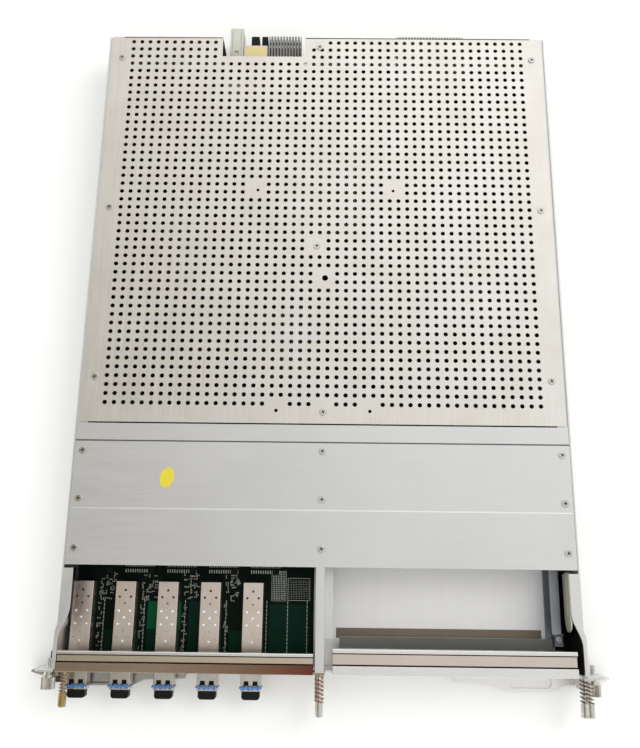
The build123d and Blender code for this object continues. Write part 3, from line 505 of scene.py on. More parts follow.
def perforated_sheet():
    """The rear cover: drilled top, plain margins, notch, and a rear wall with its window."""
    low, high = (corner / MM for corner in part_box("perforated_cover"))
    first = Vector((-(hole_columns - 1) / 2 * hole_pitch, high.y - rear_row_inset, cover_top))
    bpy.ops.object.select_all(action="DESELECT")
    bpy.ops.mesh.primitive_plane_add(size=hole_pitch * MM, location=first * MM)
    sheet = settle(bpy.context.object)
    sheet.name = "perforated_sheet"
    edit(sheet)
    bpy.ops.mesh.subdivide(number_cuts=1)
    pick_edges(sheet, lambda a, b: min((first - end).length for end in (a, b)) < nearly)
    bpy.ops.mesh.dissolve_edges(use_verts=False)
    bpy.ops.mesh.select_mode(type="FACE")
    bpy.ops.mesh.select_all(action="SELECT")
    # The square left by the inset becomes an octagon of the hole's radius when its points move to a circle
    half_hole = hole_radius / ((1 + math.sqrt(2)) / 2)
    bpy.ops.mesh.inset(thickness=(hole_pitch / 2 - half_hole) * MM)
    bpy.ops.transform.tosphere(value=1.0, center_override=first * MM)
    bpy.ops.mesh.delete(type="FACE")
    leave_edit()
    repeated(sheet, (hole_columns, (hole_pitch, 0, 0)), (hole_rows, (0, -hole_pitch, 0)), weld=nearly)
    undrilled = missing_holes()
    rim_slack = 0.1

    def cell_of(place):
        """Column and row, from the rear, of the cell that a place lies in."""
        return round((place.x - first.x) / hole_pitch), round((first.y - place.y) / hole_pitch)

    def on_rim(place):
        """Whether a place lies on the rim of its cell's hole."""
        column, row = cell_of(place)
        middle = Vector((first.x + column * hole_pitch, first.y - row * hole_pitch, cover_top))
        return (place - middle).length < hole_radius + rim_slack

    edit(sheet)
    pick_edges(sheet, lambda a, b: on_rim(a) and on_rim(b) and cell_of(a) in undrilled)
    bpy.ops.mesh.fill_holes(sides=8)
    notch_y = high.y - notch_front_inset

    def round_the_notch(middle, normal):
        """Whether a face belongs to the undrilled cells at the notch."""
        return cell_of(middle) in undrilled and cell_of(middle)[1] < notch_rows

    for place, across in (
            ((notch_x[0], 0, 0), (1, 0, 0)), ((notch_x[1], 0, 0), (1, 0, 0)), ((0, notch_y, 0), (0, 1, 0))):
        pick_faces(sheet, round_the_notch)
        bpy.ops.mesh.bisect(plane_co=[value * MM for value in place], plane_no=across)
    pick_faces(sheet, lambda middle, normal: notch_x[0] < middle.x < notch_x[1] and middle.y > notch_y)
    bpy.ops.mesh.delete(type="FACE")
    drilled_x = hole_columns / 2 * hole_pitch
    drilled_back = first.y + hole_pitch / 2
    drilled_front = drilled_back - hole_rows * hole_pitch
    margins = (
        (lambda p: abs(p.x - drilled_x) < nearly, (high.x - drilled_x, 0, 0)),
        (lambda p: abs(p.x + drilled_x) < nearly, (low.x + drilled_x, 0, 0)),
        (lambda p: abs(p.y - drilled_back) < nearly, (0, high.y - drilled_back, 0)),
        (lambda p: abs(p.y - drilled_front) < nearly, (0, low.y - drilled_front, 0)),
        (lambda p: abs(p.y - high.y) < nearly and abs(p.x) < rear_wall_half_width,
         (0, 0, rear_wall_foot - cover_top)),
    )
    for on_border, step in margins:
        pick_edges(sheet, lambda a, b: on_border(a) and on_border(b))
        bpy.ops.mesh.extrude_edges_move(TRANSFORM_OT_translate={"value": [value * MM for value in step]})
    bpy.ops.mesh.select_all(action="SELECT")
    bpy.ops.mesh.normals_make_consistent(inside=False)
    leave_edit()
    thickness = sheet.modifiers.new("thickness", "SOLIDIFY")
    thickness.thickness = cover_sheet * MM
    thickness.offset = -1.0
    apply_modifiers(sheet)
    tools = [new_rod("drill", (x, y, cover_top), radius, 6.0, sides=16) for x, y, radius in extra_holes]
    tools.append(new_block(
        "window", (window_x[0], high.y - 3.0, window_z[0]), (window_x[1], high.y + 3.0, window_z[1])))
    cut(sheet, join("tools", tools))
    return finish_piece(sheet, "carrier", "zinc_sheet", ["perforated_cover"], 20)


perforated_sheet()


# Sheet and cast pieces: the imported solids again, with their sharp edges broken

slot_of = {part["node"]: part["material_slot"] for part in frame["record"]["subparts"]}
body_of = {node: body for body, names in frame["record"]["behaviour"]["bodies"].items() for node in names}


def softened(node, width, finish=None):
    """A copy of a CAD node with rounded edges, in its place."""
    made = round_edges(cad_copy(node, node + "_shaped"), width)
    return finish_piece(made, body_of[node], slot_of[node], [node], finish=finish)


crease_depth = 0.6
cover = softened("front_cover", 0.25)
for crease_y, crease_finish in ((-89.75, "crease_shade"), (-137.65, "crease_light")):
    tint(cover, finishes[crease_finish], lambda middle, normal: abs(middle.y - crease_y) < 0.5
         and cover_top - crease_depth < middle.z < cover_top - 0.05)

for node, width in (
        ("left_side_plate", 0.3), ("right_side_plate", 0.3), ("front_sill", 0.4),
        ("left_captive_anchor", 0.4), ("power_connector", 0.5), ("keying_blocks", 0.5),
        ("left_ejector_lever", 0.5), ("left_signal_connector", 0.2), ("right_signal_connector", 0.2),
        ("lever_pins", 0.2), ("port_card_chips", 0.2), ("main_board", 0.2), ("port_card_board", 0.2),
        ("memory_modules", 0.2), ("power_modules", 0.4), ("processor_chips", 0.3), ("heat_sinks", 0.15),
        ("card_socket", 0.3), ("port_card_connector", 0.3)):
    softened(node, width)
softened("card_rails", 0.3, finishes["rail_sheet"])
# The right lever and claw are painted near-white as light, and the left claw dark olive as shade
softened("right_ejector_lever", 0.5, finishes["right_side_painted_light"])
claws = softened("pivot_brackets", 0.4, finishes["left_claw_painted_shade"])
tint(claws, finishes["right_side_painted_light"], lambda middle, normal: middle.x > 0)
softened("bottom_pan", 0.3, finishes["white_tray_and_dimple_highlight"])
softened("centre_divider", 0.3)


# Folded fronts of the two cards: the groove floor has its own colour, and a seam along each side is painted
# black as shade

groove_floor_z = 39.0
front_seam_y = -240.35
seam_inset = 0.45
seam_half_width = 0.38
seam_floor_z = 38.4
past_panels = 200
tongue_top_z = 10.2
panel_back_y = -245.2


def card_front(node, lip_y, body_finish, groove_finish):
    """A card's folded front, whose groove runs from its front edge to the lip behind it."""
    made = round_edges(cad_copy(node, node + "_shaped"), 0.35, 3)
    seams = (lip_y - seam_inset, front_seam_y)
    for seam_y in seams:
        cut(made, new_block(
            "seam", (-past_panels, seam_y - seam_half_width, seam_floor_z),
            (past_panels, seam_y + seam_half_width, groove_floor_z + 0.3)))
    finish_piece(made, body_of[node], slot_of[node], [node], finish=body_finish)
    tint(made, groove_finish, lambda middle, normal: normal.z > 0.9 and abs(middle.z - groove_floor_z) < 0.1)
    tint(made, finishes["nickel_panel"], lambda middle, normal: (
        middle.y > lip_y + 0.1 and middle.z > groove_floor_z + 0.2))
    # The faces inside the seams are painted black as shade
    return tint(made, finishes["painted_black_shade"], lambda middle, normal: (
        seam_floor_z - 0.4 < middle.z < groove_floor_z - 0.05
        and min(abs(middle.y - seam_y) for seam_y in seams) < 0.5))


card_front("port_card_panel", -235.4, finishes["port_panel"], finishes["beige_groove"])
blank = card_front("blank_panel", -232.6, finishes["nickel_panel"], finishes["pink_groove"])
# The tongue's faces behind the panel are painted dark grey as shade
tint(blank, finishes["tongue_painted_shade"], lambda middle, normal: (
    middle.z < tongue_top_z and middle.y > panel_back_y and normal.y < 0.3))


# Guides inside the bay: the left one is a shallower strip, so the first cage shows beside it

guides = round_edges(cad_copy("inner_guides", "inner_guides_shaped"), 0.3)
cut(guides, new_block("relief", (-174.0, -222.0, 20.0), (-168.0, -170.0, 35.5)))
finish_piece(guides, "carrier", slot_of["inner_guides"], ["inner_guides"], finish=finishes["guide_sheet"])


# The pale guide block of the rear edge, with two long grooves and a pocket

guide = round_edges(cad_copy("guide_socket", "guide_socket_shaped"), 0.6)
for low, high in (((-80.2, 236.0, 23.4), (-79.6, 266.0, 25)), ((-72.7, 236.0, 23.4), (-72.1, 266.0, 25)),
                  ((-78.0, 243.0, 22.6), (-74.3, 247.0, 25))):
    cut(guide, new_block("groove", low, high))
finish_piece(guide, "carrier", slot_of["guide_socket"], ["guide_socket"])


# Thin pieces laid on others: a band painted dark on the tray, black strips painted as shade in the dark
# gaps, the ends of the rear wall and the rail's painted highlights

def flat_piece(name, low, high, finish, body="carrier", slot_name="black_moulding"):
    """A thin piece laid on another: label, patch or strip, some of them painted shade or highlight."""
    return finish_piece(new_block(name, low, high), body, slot_name, finish=finishes[finish])


film = 0.06
tray_sheet = 1.2
wall_end_x = 168.65
wall_end_half_width = 6.75
power_connector_top = 22.0

# A grey-brown band painted on the tray's floor as the darkening behind the blank's tongue
flat_piece("painted_dark_band", (11.6, -226.0, tray_sheet), (160.3, -218.9, tray_sheet + film), "painted_dark_band")
# Black strips painted as shade beside the rail, on the wall, along the cover's rear edge, over the
# connectors in the notch and on the rear floor
flat_piece("rail_side_shade", (169.8, -245.0, 1.3), (177.2, -177.5, 8.35), "painted_black_shade")
flat_piece("wall_shade_sheet", (177.2, -245.2, 8.4), (177.38, -204.0, 39.6), "painted_black_shade")
for shade_span_x in ((-166.8, notch_x[0] - 0.2), (notch_x[1] + 0.2, 166.8)):
    flat_piece("rear_edge_shade", (shade_span_x[0], 246.05, cover_top), (shade_span_x[1], 246.75, cover_top + film),
               "painted_black_shade")
flat_piece("connector_shade", (-81.4, 217.0, 24.02), (-21.5, 239.5, 24.2), "painted_black_shade")
flat_piece("rear_floor_shade", (-172.0, 229.6, 1.25), (172.0, 244.6, 1.6), "painted_black_shade")
for side in (-1, 1):
    flat_piece("rear_corner_tab", (side * wall_end_x - wall_end_half_width, 245.4, rear_wall_foot),
               (side * wall_end_x + wall_end_half_width, 246.4, 39.8), "zinc_sheet")
# Two thin strips painted warm white as the highlights on the right guide
for highlight_y, highlight_z in ((-213.0, 38.4), (-207.0, 32.0)):
    flat_piece("guide_highlight_strip", (170.7, highlight_y, highlight_z), (170.9, -178.0, highlight_z + 1.3), "guide_painted_highlight")
flat_piece("connector_label", (-68.4, 243.4, power_connector_top),
           (-51.6, 252.6, power_connector_top + film), "pale_label")

# Contact blades in the rear connectors, in two rows of eleven on the left and of twenty-six on the right
for name, x, step, count in (("left_blades", -47.6, 2.5, 11), ("right_blades", 62.0, 2.0, 26)):
    blade = round_edges(new_block(name, (x, 249.5, 22.8), (x + 0.7, 252.2, 24.2)), 0.12)
    repeated(blade, (count, (step, 0, 0)), (2, (0, 5.2, 0)))
    finish_piece(blade, "carrier", "grey_wafers", finish=finishes["solder_tin"])


# Blank oval sticker on the front cover

def oval_sticker(x, y, half_x, half_y, turn):
    """Oval paper with a slightly sunken rim, turned about an upright axis."""
    paper = new_rod("oval_sticker", (0, 0, 0), 1.0, film, "Z", 40)
    edit(paper)
    pick_faces(paper, lambda middle, normal: normal.z > 0.9)
    bpy.ops.mesh.inset(thickness=0.12 * MM)
    bpy.ops.transform.translate(value=(0, 0, -0.02 * MM))
    leave_edit()
    paper.scale = (half_x, half_y, 1)
    paper.rotation_euler = (0, 0, turn)
    paper.location = (x * MM, y * MM, (cover_top + film / 2) * MM)
    return finish_piece(settle(paper), "carrier", "white_moulding", finish=finishes["yellow_paper"])


oval_sticker(-109.8, -116.0, 5.0, 7.3, -0.22)


# Socket-head screw on the foot of the right rail

foot_pad_top = 8.9
rail_screw_radius = 2.5
rail_screw_height = 2.6
rail_socket_radius = 1.35


def socket_screw(x, y, z):
    """A screw head with a hexagon socket, standing on a height."""
    middle = (x, y, z + rail_screw_height / 2)
    head = round_edges(new_rod("rail_screw", middle, rail_screw_radius, rail_screw_height, "Z", 32), 0.3)
    top = (x, y, z + rail_screw_height)
    cut(head, new_rod("socket", top, rail_socket_radius, rail_screw_height, "Z", 6))
    return finish_piece(head, "carrier", "plated_screw")


flat_piece("rail_foot_pad", (167.6, -229.5, 8.3), (173.8, -220.4, foot_pad_top), "rail_sheet")
socket_screw(170.6, -224.4, foot_pad_top)


# Cross-recess screws of both covers, one modelled and the rest copied

screw_head_radius = 2.8
screw_head_height = 0.7
recess_floor_z = cover_top + 0.2
rear_screw_x = 167.5
front_screw_x = 171.7


def cover_screw(x, y):
    """A low pan head with a cross recess."""
    middle = (x, y, cover_top + screw_head_height / 2)
    head = new_rod("cover_screw", middle, screw_head_radius, screw_head_height, sides=28)
    edit(head)
    pick_edges(head, lambda a, b: min(a.z, b.z) > cover_top + screw_head_height - nearly)
    bpy.ops.mesh.bevel(offset=0.45 * MM, segments=3)
    leave_edit()
    for half_x, half_y in ((1.35, 0.32), (0.32, 1.35)):
        cut(head, new_block(
            "recess", (x - half_x, y - half_y, recess_floor_z), (x + half_x, y + half_y, cover_top + 2)))
    return head


def screw_set(node, places):
    """All screws of one cover: the first is modelled, and each copy is turned by another angle."""
    first_x, first_y = places[0]
    first = cover_screw(first_x, first_y)
    heads = [first]
    for number, (x, y) in enumerate(places[1:]):
        heads.append(copy_at(first, "screw", (x - first_x, y - first_y, 0), 0.5 * number, places[0]))
    made = finish_piece(join(node + "_heads", heads), body_of[node], slot_of[node], [node])
    # The floor of each cross recess is painted black as shade
    return tint(made, finishes["black_chip"], lambda middle, normal: abs(middle.z - recess_floor_z) < 0.05)


rear_sides = [(side * rear_screw_x, y) for side in (-1, 1) for y in (227.1, 93.3, -42.6)]
screw_set("perforated_cover_screws", rear_sides + [(-5.4, 238.0), (-5.5, 62.2), (0.6, -67.4)])
front_sides = [(side * front_screw_x, y) for side in (-1, 1) for y in (-97.0, -131.2, -165.3)]
screw_set("front_cover_screws", front_sides + [(0.5, y) for y in (-96.0, -130.2, -164.3)])


# Captive screws and their coil springs

spring_seat_y = -248.7
captive_head_length = 9.0
captive_head_radius = 2.7
captive_shank_radius = 1.45
captive_shank_back_y = -244.4
captive_slot_half_width = 0.42
captive_slot_depth = 1.5
collar_radius = 2.0
collar_length = 1.0
spring_turns = 6


def capped(piece):
    """Close the open ends of a mesh that a modifier swept."""
    edit(piece)
    bpy.ops.mesh.select_mode(type="EDGE")
    bpy.ops.mesh.select_all(action="DESELECT")
    bpy.ops.mesh.select_non_manifold()
    bpy.ops.mesh.fill_holes(sides=0)
    bpy.ops.mesh.select_all(action="SELECT")
    bpy.ops.mesh.normals_make_consistent(inside=False)
    leave_edit()
    return piece


def coil(name, x, z, front, back, radius, wire, turns):
    """A round wire wound along Y between two ends."""
    bpy.ops.object.select_all(action="DESELECT")
    bpy.ops.mesh.primitive_circle_add(vertices=10, radius=wire * MM, location=(x * MM, back * MM, z * MM))
    wound = bpy.context.object
    wound.name = name
    edit(wound)
    bpy.ops.transform.translate(value=(radius * MM, 0, 0))
    leave_edit()
    sweep = wound.modifiers.new("coil", "SCREW")
    sweep.axis = "Y"
    sweep.angle = 2 * math.pi
    sweep.screw_offset = -(back - front) / turns * MM
    sweep.iterations = turns
    sweep.steps = sweep.render_steps = 20
    apply_modifiers(wound)
    return capped(settle(wound))


def captive(name, x, z, space, coil_radius, wire, spring_finish=None):
    """A slotted captive screw at a place, and the spring in the space between its seat and its head."""
    node = name + "_captive_screw"
    spring_node = name + "_spring"
    head_back = spring_seat_y - space
    tip = head_back - captive_head_length
    head = new_rod("head", (x, (tip + head_back) / 2, z), captive_head_radius, captive_head_length, "Y", 32)
    edit(head)
    pick_edges(head, lambda a, b: max(a.y, b.y) < tip + nearly)
    bpy.ops.mesh.bevel(offset=1.3 * MM, segments=4)
    leave_edit()
    cut(head, new_block(
        "slot", (x - 4, tip - 1, z - captive_slot_half_width),
        (x + 4, tip + captive_slot_depth, z + captive_slot_half_width)))
    collar = new_rod("collar", (x, head_back + collar_length / 2, z), collar_radius, collar_length, "Y", 24)
    shank = new_rod(
        "shank", (x, (head_back + captive_shank_back_y) / 2, z), captive_shank_radius,
        abs(head_back - captive_shank_back_y), "Y", 24)
    screw = join(name + "_screw_shaped", [head, collar, shank])
    finish_piece(screw, name + "_captive", slot_of[node], [node])
    spring = coil(
        name + "_coil", x, z, head_back + wire, spring_seat_y - wire, coil_radius, wire, spring_turns)
    finish_piece(spring, body_of[spring_node], slot_of[spring_node], [spring_node], 60, spring_finish)
    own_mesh(spring)


# Each screw's place, the room for its spring, and the radii of the coil and of its wire
captive("left", -174.5, 29.0, 13.0, 2.4, 0.36)
captive("centre_upper", 0, 31.0, 16.8, 2.85, 0.4)
captive("centre_lower", 0, 18.5, 16.8, 2.85, 0.4)
captive("right_upper", 182.2, 33.0, 14.8, 2.4, 0.36, finishes["bronze_spring"])
captive("right_lower", 182.2, 20.5, 16.8, 2.4, 0.36, finishes["bronze_spring"])


# Knurled thumb screws, one modelled and the other a copy

thumb_z = 26.75
grip_back = -251.9
grip_front = -259.5
grip_radius = 4.7
grip_edges = 72
groove_share = 0.93
shoulder_length = 5.0
left_thumb_x = -185.8
right_thumb_x = 187.2


def thumb_screw(x):
    """A knurled grip, whose every second edge is pulled in, with its shoulder, ring and shank."""
    grip_middle = (grip_back + grip_front) / 2
    grip = new_rod("grip", (x, grip_middle, thumb_z), grip_radius, grip_back - grip_front, "Y", grip_edges)

    def in_a_groove(a, b):
        """Whether an edge runs along the grip, and is a second one round it."""
        step = round(math.atan2(a.z - thumb_z, a.x - x) / (2 * math.pi / grip_edges))
        return abs(a.y - b.y) > (grip_back - grip_front) / 2 and step % 2 == 0

    edit(grip)
    pick_edges(grip, in_a_groove)
    bpy.ops.transform.resize(
        value=(groove_share, 1.0, groove_share), center_override=(x * MM, 0, thumb_z * MM))
    leave_edit()
    bpy.ops.object.select_all(action="DESELECT")
    bpy.ops.mesh.primitive_cone_add(
        vertices=40, radius1=4.2 * MM, radius2=2.95 * MM, depth=shoulder_length * MM,
        location=(x * MM, (grip_back + shoulder_length / 2) * MM, thumb_z * MM),
        rotation=(-math.pi / 2, 0, 0))
    shoulder = settle(bpy.context.object)
    ring = new_rod("ring", (x, grip_back + 1.0, thumb_z), 4.3, 0.8, "Y", 40)
    shank = new_rod("shank", (x, -243.5, thumb_z), 1.7, 8.0, "Y", 24)
    return join("thumb_screw_shaped", [grip, shoulder, ring, shank])


left_thumb = thumb_screw(left_thumb_x)
right_thumb = copy_at(left_thumb, "right_thumb_screw_shaped", (right_thumb_x - left_thumb_x, 0, 0))
finish_piece(left_thumb, "left_thumb", "plated_screw", ["left_thumb_screw"])
finish_piece(right_thumb, "right_thumb", "plated_screw", ["right_thumb_screw"])


# Port cages: folded tin boxes with vents and pressed dimples, one modelled and four copied

first_port_x = -168.8
port_spacing = 30.3
port_places = [first_port_x + port_spacing * index for index in range(5)]
board_top = 10.8
cage_width = 14.25
cage_top = 20.6
cage_front = -245.2
cage_back = -188.0
cage_wall = 0.3
# Round holes of a cage's top: place beside its middle line, place along it, and radius
cage_vents = (
    (0, -193.9, 0.85), (-4, -198.5, 0.85), (4, -198.5, 0.85), (0, -203.1, 0.85), (0, -221.6, 0.5),
    (-4.1, -226.0, 0.5), (4.1, -226.0, 0.5), (0, -231.0, 0.5))
dimple_places = ((-4, -208.1), (4, -208.1), (0, -212.5), (-4, -217.0), (4, -217.0), (0, -228.4), (0, -236.5))
dimple_radius = 0.95


def port_cage(x):
    """A tin box, open at its front, with rounded top edges and vents."""
    box = new_block(
        "cage", (x - cage_width / 2, cage_front, board_top), (x + cage_width / 2, cage_back, cage_top))
    edit(box)
    pick_edges(box, lambda a, b: min(a.z, b.z) > cage_top - 0.1 and abs(a.x - b.x) < 0.1)
    bpy.ops.mesh.bevel(offset=0.45 * MM, segments=3)
    pick_faces(box, lambda middle, normal: normal.y < -0.9)
    bpy.ops.mesh.delete(type="FACE")
    leave_edit()
    wall = box.modifiers.new("wall", "SOLIDIFY")
    wall.thickness = cage_wall * MM
    wall.offset = -1.0
    apply_modifiers(box)
    drills = [new_rod("drill", (x + dx, y, cage_top), radius, 2.0, sides=12) for dx, y, radius in cage_vents]
    cut(box, join("drills", drills))
    return box


def cage_dimples(x):
    """The dimples pressed into the top of a cage."""
    bumps = []
    for dx, y in dimple_places:
        bpy.ops.object.select_all(action="DESELECT")
        bpy.ops.mesh.primitive_uv_sphere_add(
            segments=12, ring_count=6, radius=dimple_radius * MM,
            location=((x + dx) * MM, y * MM, (cage_top - 0.1) * MM))
        bump = bpy.context.object
        bump.scale = (1, 1, 0.35)
        bumps.append(settle(bump))
    return join("cage", bumps)


def five(name, piece):
    """A piece and its copies at the other four ports, as one mesh."""
    copies = [copy_at(piece, "copy", (x - port_places[0], 0, 0)) for x in port_places[1:]]
    return join(name, [piece] + copies)


finish_piece(five("port_cages_shaped", port_cage(port_places[0])), "port_card", "cage_sheet", ["port_cages"])
# The dimples take the tray's near-white as a painted highlight
finish_piece(five("cage_dimples", cage_dimples(port_places[0])), "port_card", "cage_sheet",
             finish=finishes["white_tray_and_dimple_highlight"])


# Modules, their wire latches and their plugs: one set modelled, and four copied

def module_nose():
    """The nose with its latch slides standing up, and black blocks painted as the shade inside its two top
    windows.
    """
    x = port_places[0]
    nose = round_edges(cad_copy("port_module_1", "module"), 0.25)
    slides = [
        new_block("slide", (x + dx - 0.45, -260.2, 19.9), (x + dx + 0.45, -256.9, 20.7))
        for dx in (-6.2, 0, 6.2)]
    for slide in slides:
        round_edges(slide, 0.2)
    shades = [
        new_block("shade", (x + dx - 1.62, -256.8, 19.05), (x + dx + 1.62, -254.0, 19.35))
        for dx in (-3.125, 3.125)]
    return join("module", [nose] + slides), join("shades", shades)


def latch_wire():
    """The latch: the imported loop, rounded, with the crossed wires that lie on the nose."""
    x = port_places[0]
    loop = round_edges(cad_copy("module_bail_1", "latch"), 0.3, 3)
    wires = []
    for turn in (-0.5, 0.5):
        for dx in (-3.2, 3.2):
            wire = new_rod("wire", (0, 0, 0), 0.42, 5.6, "X", 10)
            wire.rotation_euler = (0, 0, turn)
            wire.location = ((x + dx) * MM, -258.2 * MM, 21.6 * MM)
            wires.append(settle(wire))
    return join("latch", [loop] + wires)


nose, shades = module_nose()
latch = latch_wire()
plug = round_edges(cad_copy("dust_plug_1", "plug"), 0.6, 3)
for number, x in enumerate(port_places, start=1):
    shift = (x - port_places[0], 0, 0)
    for first, node, body in (
            (nose, "port_module", "module"), (latch, "module_bail", "bail"), (plug, "dust_plug", "plug")):
        name = node + "_" + str(number)
        made = copy_at(first, name + "_shaped", shift)
        finish_piece(made, body + "_" + str(number), slot_of[name], [name])
    # Black blocks painted as the shade in the module's windows
    made = copy_at(shades, "window_painted_shade_" + str(number), shift)
    finish_piece(made, "module_" + str(number), "black_moulding")
for first in (nose, shades, latch, plug):
    bpy.data.objects.remove(first)


# Print, pads and small parts on the port board

ink_height = 0.08
dice = random.Random(11)


def patch(name, x_span, y_span, finish, height=0.04):
    """A thin rectangle on the board."""
    return flat_piece(
        name, (x_span[0], y_span[0], board_top), (x_span[1], y_span[1], board_top + height), finish,
        "port_card", "green_board")


patch("bright_green_zone", (-124.0, -100.0), (-221.0, -201.7), "bright_mask")
for left in (-153.5, -124.0, -94.3, -64.8):
    patch("green_zone", (left, left + 24.0), (-243.5, -221.4), "dim_mask", 0.03)
patch("green_zone", (-94.3, -71.0), (-221.0, -201.7), "dim_mask", 0.03)
patch("green_zone", (-36.5, -8.0), (-243.5, -203.0), "dim_mask", 0.03)

ink = []
ink_top = board_top + ink_height
for line_x in (-155.5, -126.5, -97.2, -67.7, -38.5, -23.4, -9.4):
    dash = new_block("dash", (line_x - 0.28, -202.6, board_top), (line_x + 0.28, -200.5, ink_top))
    ink.append(repeated(dash, (16, (0, -2.8, 0))))
for x_span, y_span in (((-23.6, -7.4), (-184.8, -184.4)), ((-23.6, -7.4), (-200.2, -199.8)),
                       ((-23.6, -23.2), (-200.2, -184.4)), ((-7.8, -7.4), (-200.2, -184.4)),
                       ((-35.4, -35.1), (-200.6, -179.6)), ((-24.9, -24.6), (-200.6, -179.6)),
                       ((-35.4, -24.6), (-179.9, -179.6)), ((-35.4, -24.6), (-200.6, -200.3))):
    ink.append(new_block("outline", (x_span[0], y_span[0], board_top), (x_span[1], y_span[1], ink_top)))
finish_piece(join("board_ink", ink), "port_card", "green_board", finish=finishes["board_ink"])

tin = []
pad = new_block("pad", (-34.5, -181.0, board_top), (-33.9, -180.2, board_top + 0.1))
tin.append(repeated(pad, (8, (1.2, 0, 0)), (15, (0, -1.32, 0))))
ball = new_block("ball", (-22.2, -186.6, board_top), (-21.8, -186.2, board_top + 0.15))
tin.append(repeated(ball, (12, (1.2, 0, 0)), (11, (0, -1.2, 0))))
for start_x in (-142.0, -111.5, -81.0, -50.5):
    pin = new_block("pin", (start_x, -181.7, board_top), (start_x + 0.75, -179.4, board_top + 0.3))
    tin.append(repeated(pin, (13, (1.7, 0, 0)), (2, (0, 4.0, 0))))
# Small two-ended parts between the cages, more of them at the back, and none to the right of the last gap
part_length = 1.5
scatter_end_x = -40.0
ends = new_block("ends", (-0.25, -0.4, 0), (0.25, 0.4, 0.5))
chip = new_block("body", (-0.6, -0.38, 0), (0.6, 0.38, 0.45))
repeated(ends, (2, (part_length, 0, 0)))
chips = []
for port_x in port_places:
    spots = [(port_x + dice.uniform(9.4, 19.6), dice.uniform(-201.0, -183.0)) for _ in range(34)]
    spots += [(port_x + dice.uniform(8.8, 11.6), dice.uniform(-243.0, -203.0)) for _ in range(16)]
    for x, y in spots:
        if x < scatter_end_x:
            turn = math.pi / 2 * dice.choice((0, 1))
            half = part_length / 2
            tin.append(copy_at(ends, "ends", (x, y, board_top), turn))
            chips.append(copy_at(
                chip, "body", (x + half * math.cos(turn), y + half * math.sin(turn), board_top), turn))
for first in (ends, chip):
    bpy.data.objects.remove(first)
finish_piece(join("tinned_pads", tin), "port_card", "green_board", finish=finishes["solder_tin"])
finish_piece(join("small_parts", chips), "port_card", "green_board", finish=finishes["chip_ceramic"])


# Studio: the camera where the photograph was taken, a white sweep and soft light

photo_height = 748
focal_pixels = 773
sensor_mm = 36.0
# Where the camera stood, in metres, and which way it looked
camera_place = Vector((0.00293, -0.1780, 0.5912))
camera_forward = Vector((-0.00859, 0.24495, -0.96950))
camera_right = Vector((0.99991, 0.01210, -0.00581))

camera = bpy.data.objects.new("camera", bpy.data.cameras.new("camera"))
bpy.context.scene.collection.objects.link(camera)
camera.data.sensor_width = sensor_mm
camera.data.lens = sensor_mm * focal_pixels / photo_height
camera_back = -camera_forward.normalized()
camera_up = camera_back.cross(camera_right).normalized()
turned = Matrix((camera_up.cross(camera_back), camera_up, camera_back)).transposed()
camera.matrix_world = Matrix.Translation(camera_place) @ turned.to_4x4()
camera.data.clip_start = 0.01
camera.data.clip_end = 20.0
bpy.context.scene.camera = camera


def soft_lamp(name, place, size, watts):
    """A square soft box, placed and sized in metres, that points at the middle of the card."""
    lamp = bpy.data.objects.new(name, bpy.data.lights.new(name, "AREA"))
    bpy.context.scene.collection.objects.link(lamp)
    lamp.data.size = size
    lamp.data.energy = watts
    lamp.location = place
    lamp.rotation_euler = (-Vector(place)).to_track_quat("-Z", "Y").to_euler()
    lamp.visible_glossy = False


soft_lamp("key_soft_box", (0.75, 0.35, 1.1), 0.7, 4.5)
soft_lamp("front_soft_box", (0.1, -1.1, 0.8), 0.7, 2.0)
soft_lamp("left_soft_box", (-1.1, 0.0, 0.9), 0.8, 1.2)

world = bpy.data.worlds.new("studio")
bpy.context.scene.world = world
world.use_nodes = True
sky = world.node_tree
sky.nodes.clear()
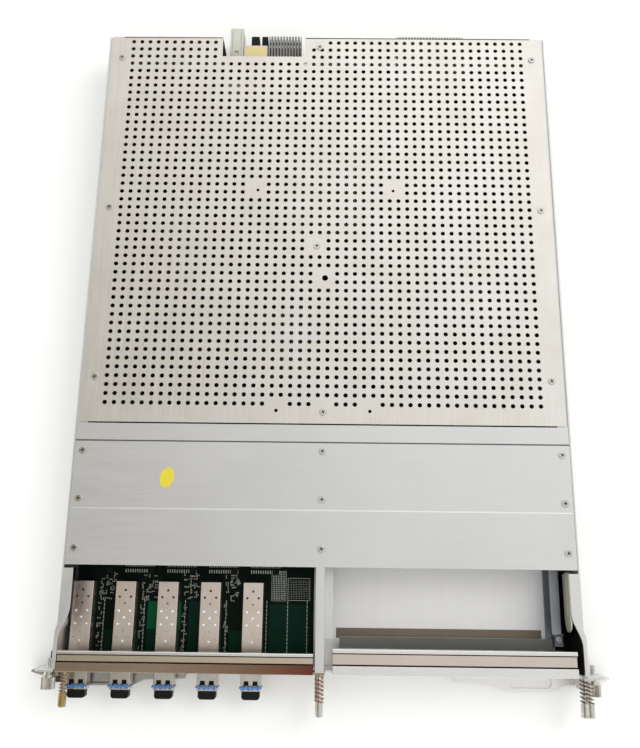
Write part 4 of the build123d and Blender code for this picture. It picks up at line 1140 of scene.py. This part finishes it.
# The metals mirror a room that is warm grey on the left, white on the right and low down, brightest behind
direction = add_node(sky, "ShaderNodeTexCoord").outputs["Generated"]
toward = add_node(sky, "ShaderNodeSeparateXYZ", {"Vector": direction})
rightward = add_node(sky, "ShaderNodeMapRange", {
    "Value": toward.outputs["X"], "From Min": -0.36, "From Max": 0.02})
backward = add_node(sky, "ShaderNodeMapRange", {
    "Value": toward.outputs["Y"], "From Min": 0.05, "From Max": 0.65, "To Min": 0.86, "To Max": 1.36})
low = add_node(sky, "ShaderNodeMapRange", {"Value": toward.outputs["Z"], "From Min": 0.75, "From Max": 0.45})
whiteness = add_node(sky, "ShaderNodeMath", {
    0: rightward.outputs["Result"], 1: low.outputs["Result"]}, operation="MAXIMUM")
room_colour = add_node(sky, "ShaderNodeMixRGB", {
    "Fac": whiteness.outputs["Value"], "Color1": linear("9C978A"), "Color2": linear("FFFFFF")})
mirrored_room = add_node(sky, "ShaderNodeBackground", {
    "Color": room_colour.outputs["Color"], "Strength": backward.outputs["Result"]})
room_light = add_node(sky, "ShaderNodeBackground", {"Color": linear("FFFFFF"), "Strength": 0.95})
white_sweep = add_node(sky, "ShaderNodeBackground", {"Color": linear("FFFFFF"), "Strength": 1.0})
# Metals see the mirrored room, the camera sees white, and all else is lit by the room
ray = add_node(sky, "ShaderNodeLightPath")
for_mirrors = add_node(sky, "ShaderNodeMixShader", {
    0: ray.outputs["Is Glossy Ray"], 1: room_light.outputs[0], 2: mirrored_room.outputs[0]})
for_camera = add_node(sky, "ShaderNodeMixShader", {
    0: ray.outputs["Is Camera Ray"], 1: for_mirrors.outputs[0], 2: white_sweep.outputs[0]})
add_node(sky, "ShaderNodeOutputWorld", {"Surface": for_camera.outputs[0]})

# The floor lies a fifth of a millimetre under the tray, so that the two faces never share a plane
floor_size = 6.0
floor_drop = 0.0002
bpy.ops.mesh.primitive_plane_add(size=floor_size, location=(0, 0, -floor_drop))
floor = bpy.context.object
floor.name = "floor"
# Matt white paper, which takes a soft shadow and mirrors nothing
floor_paint, _, floor_shader, _ = start_material("matt_white_floor")
floor_shader.inputs["Base Color"].default_value = linear("F4F4F2")
floor_shader.inputs["Roughness"].default_value = 0.9
floor_shader.inputs["Specular IOR Level"].default_value = 0.1
floor.data.materials.append(floor_paint)

bpy.context.scene.view_settings.view_transform = "Standard"
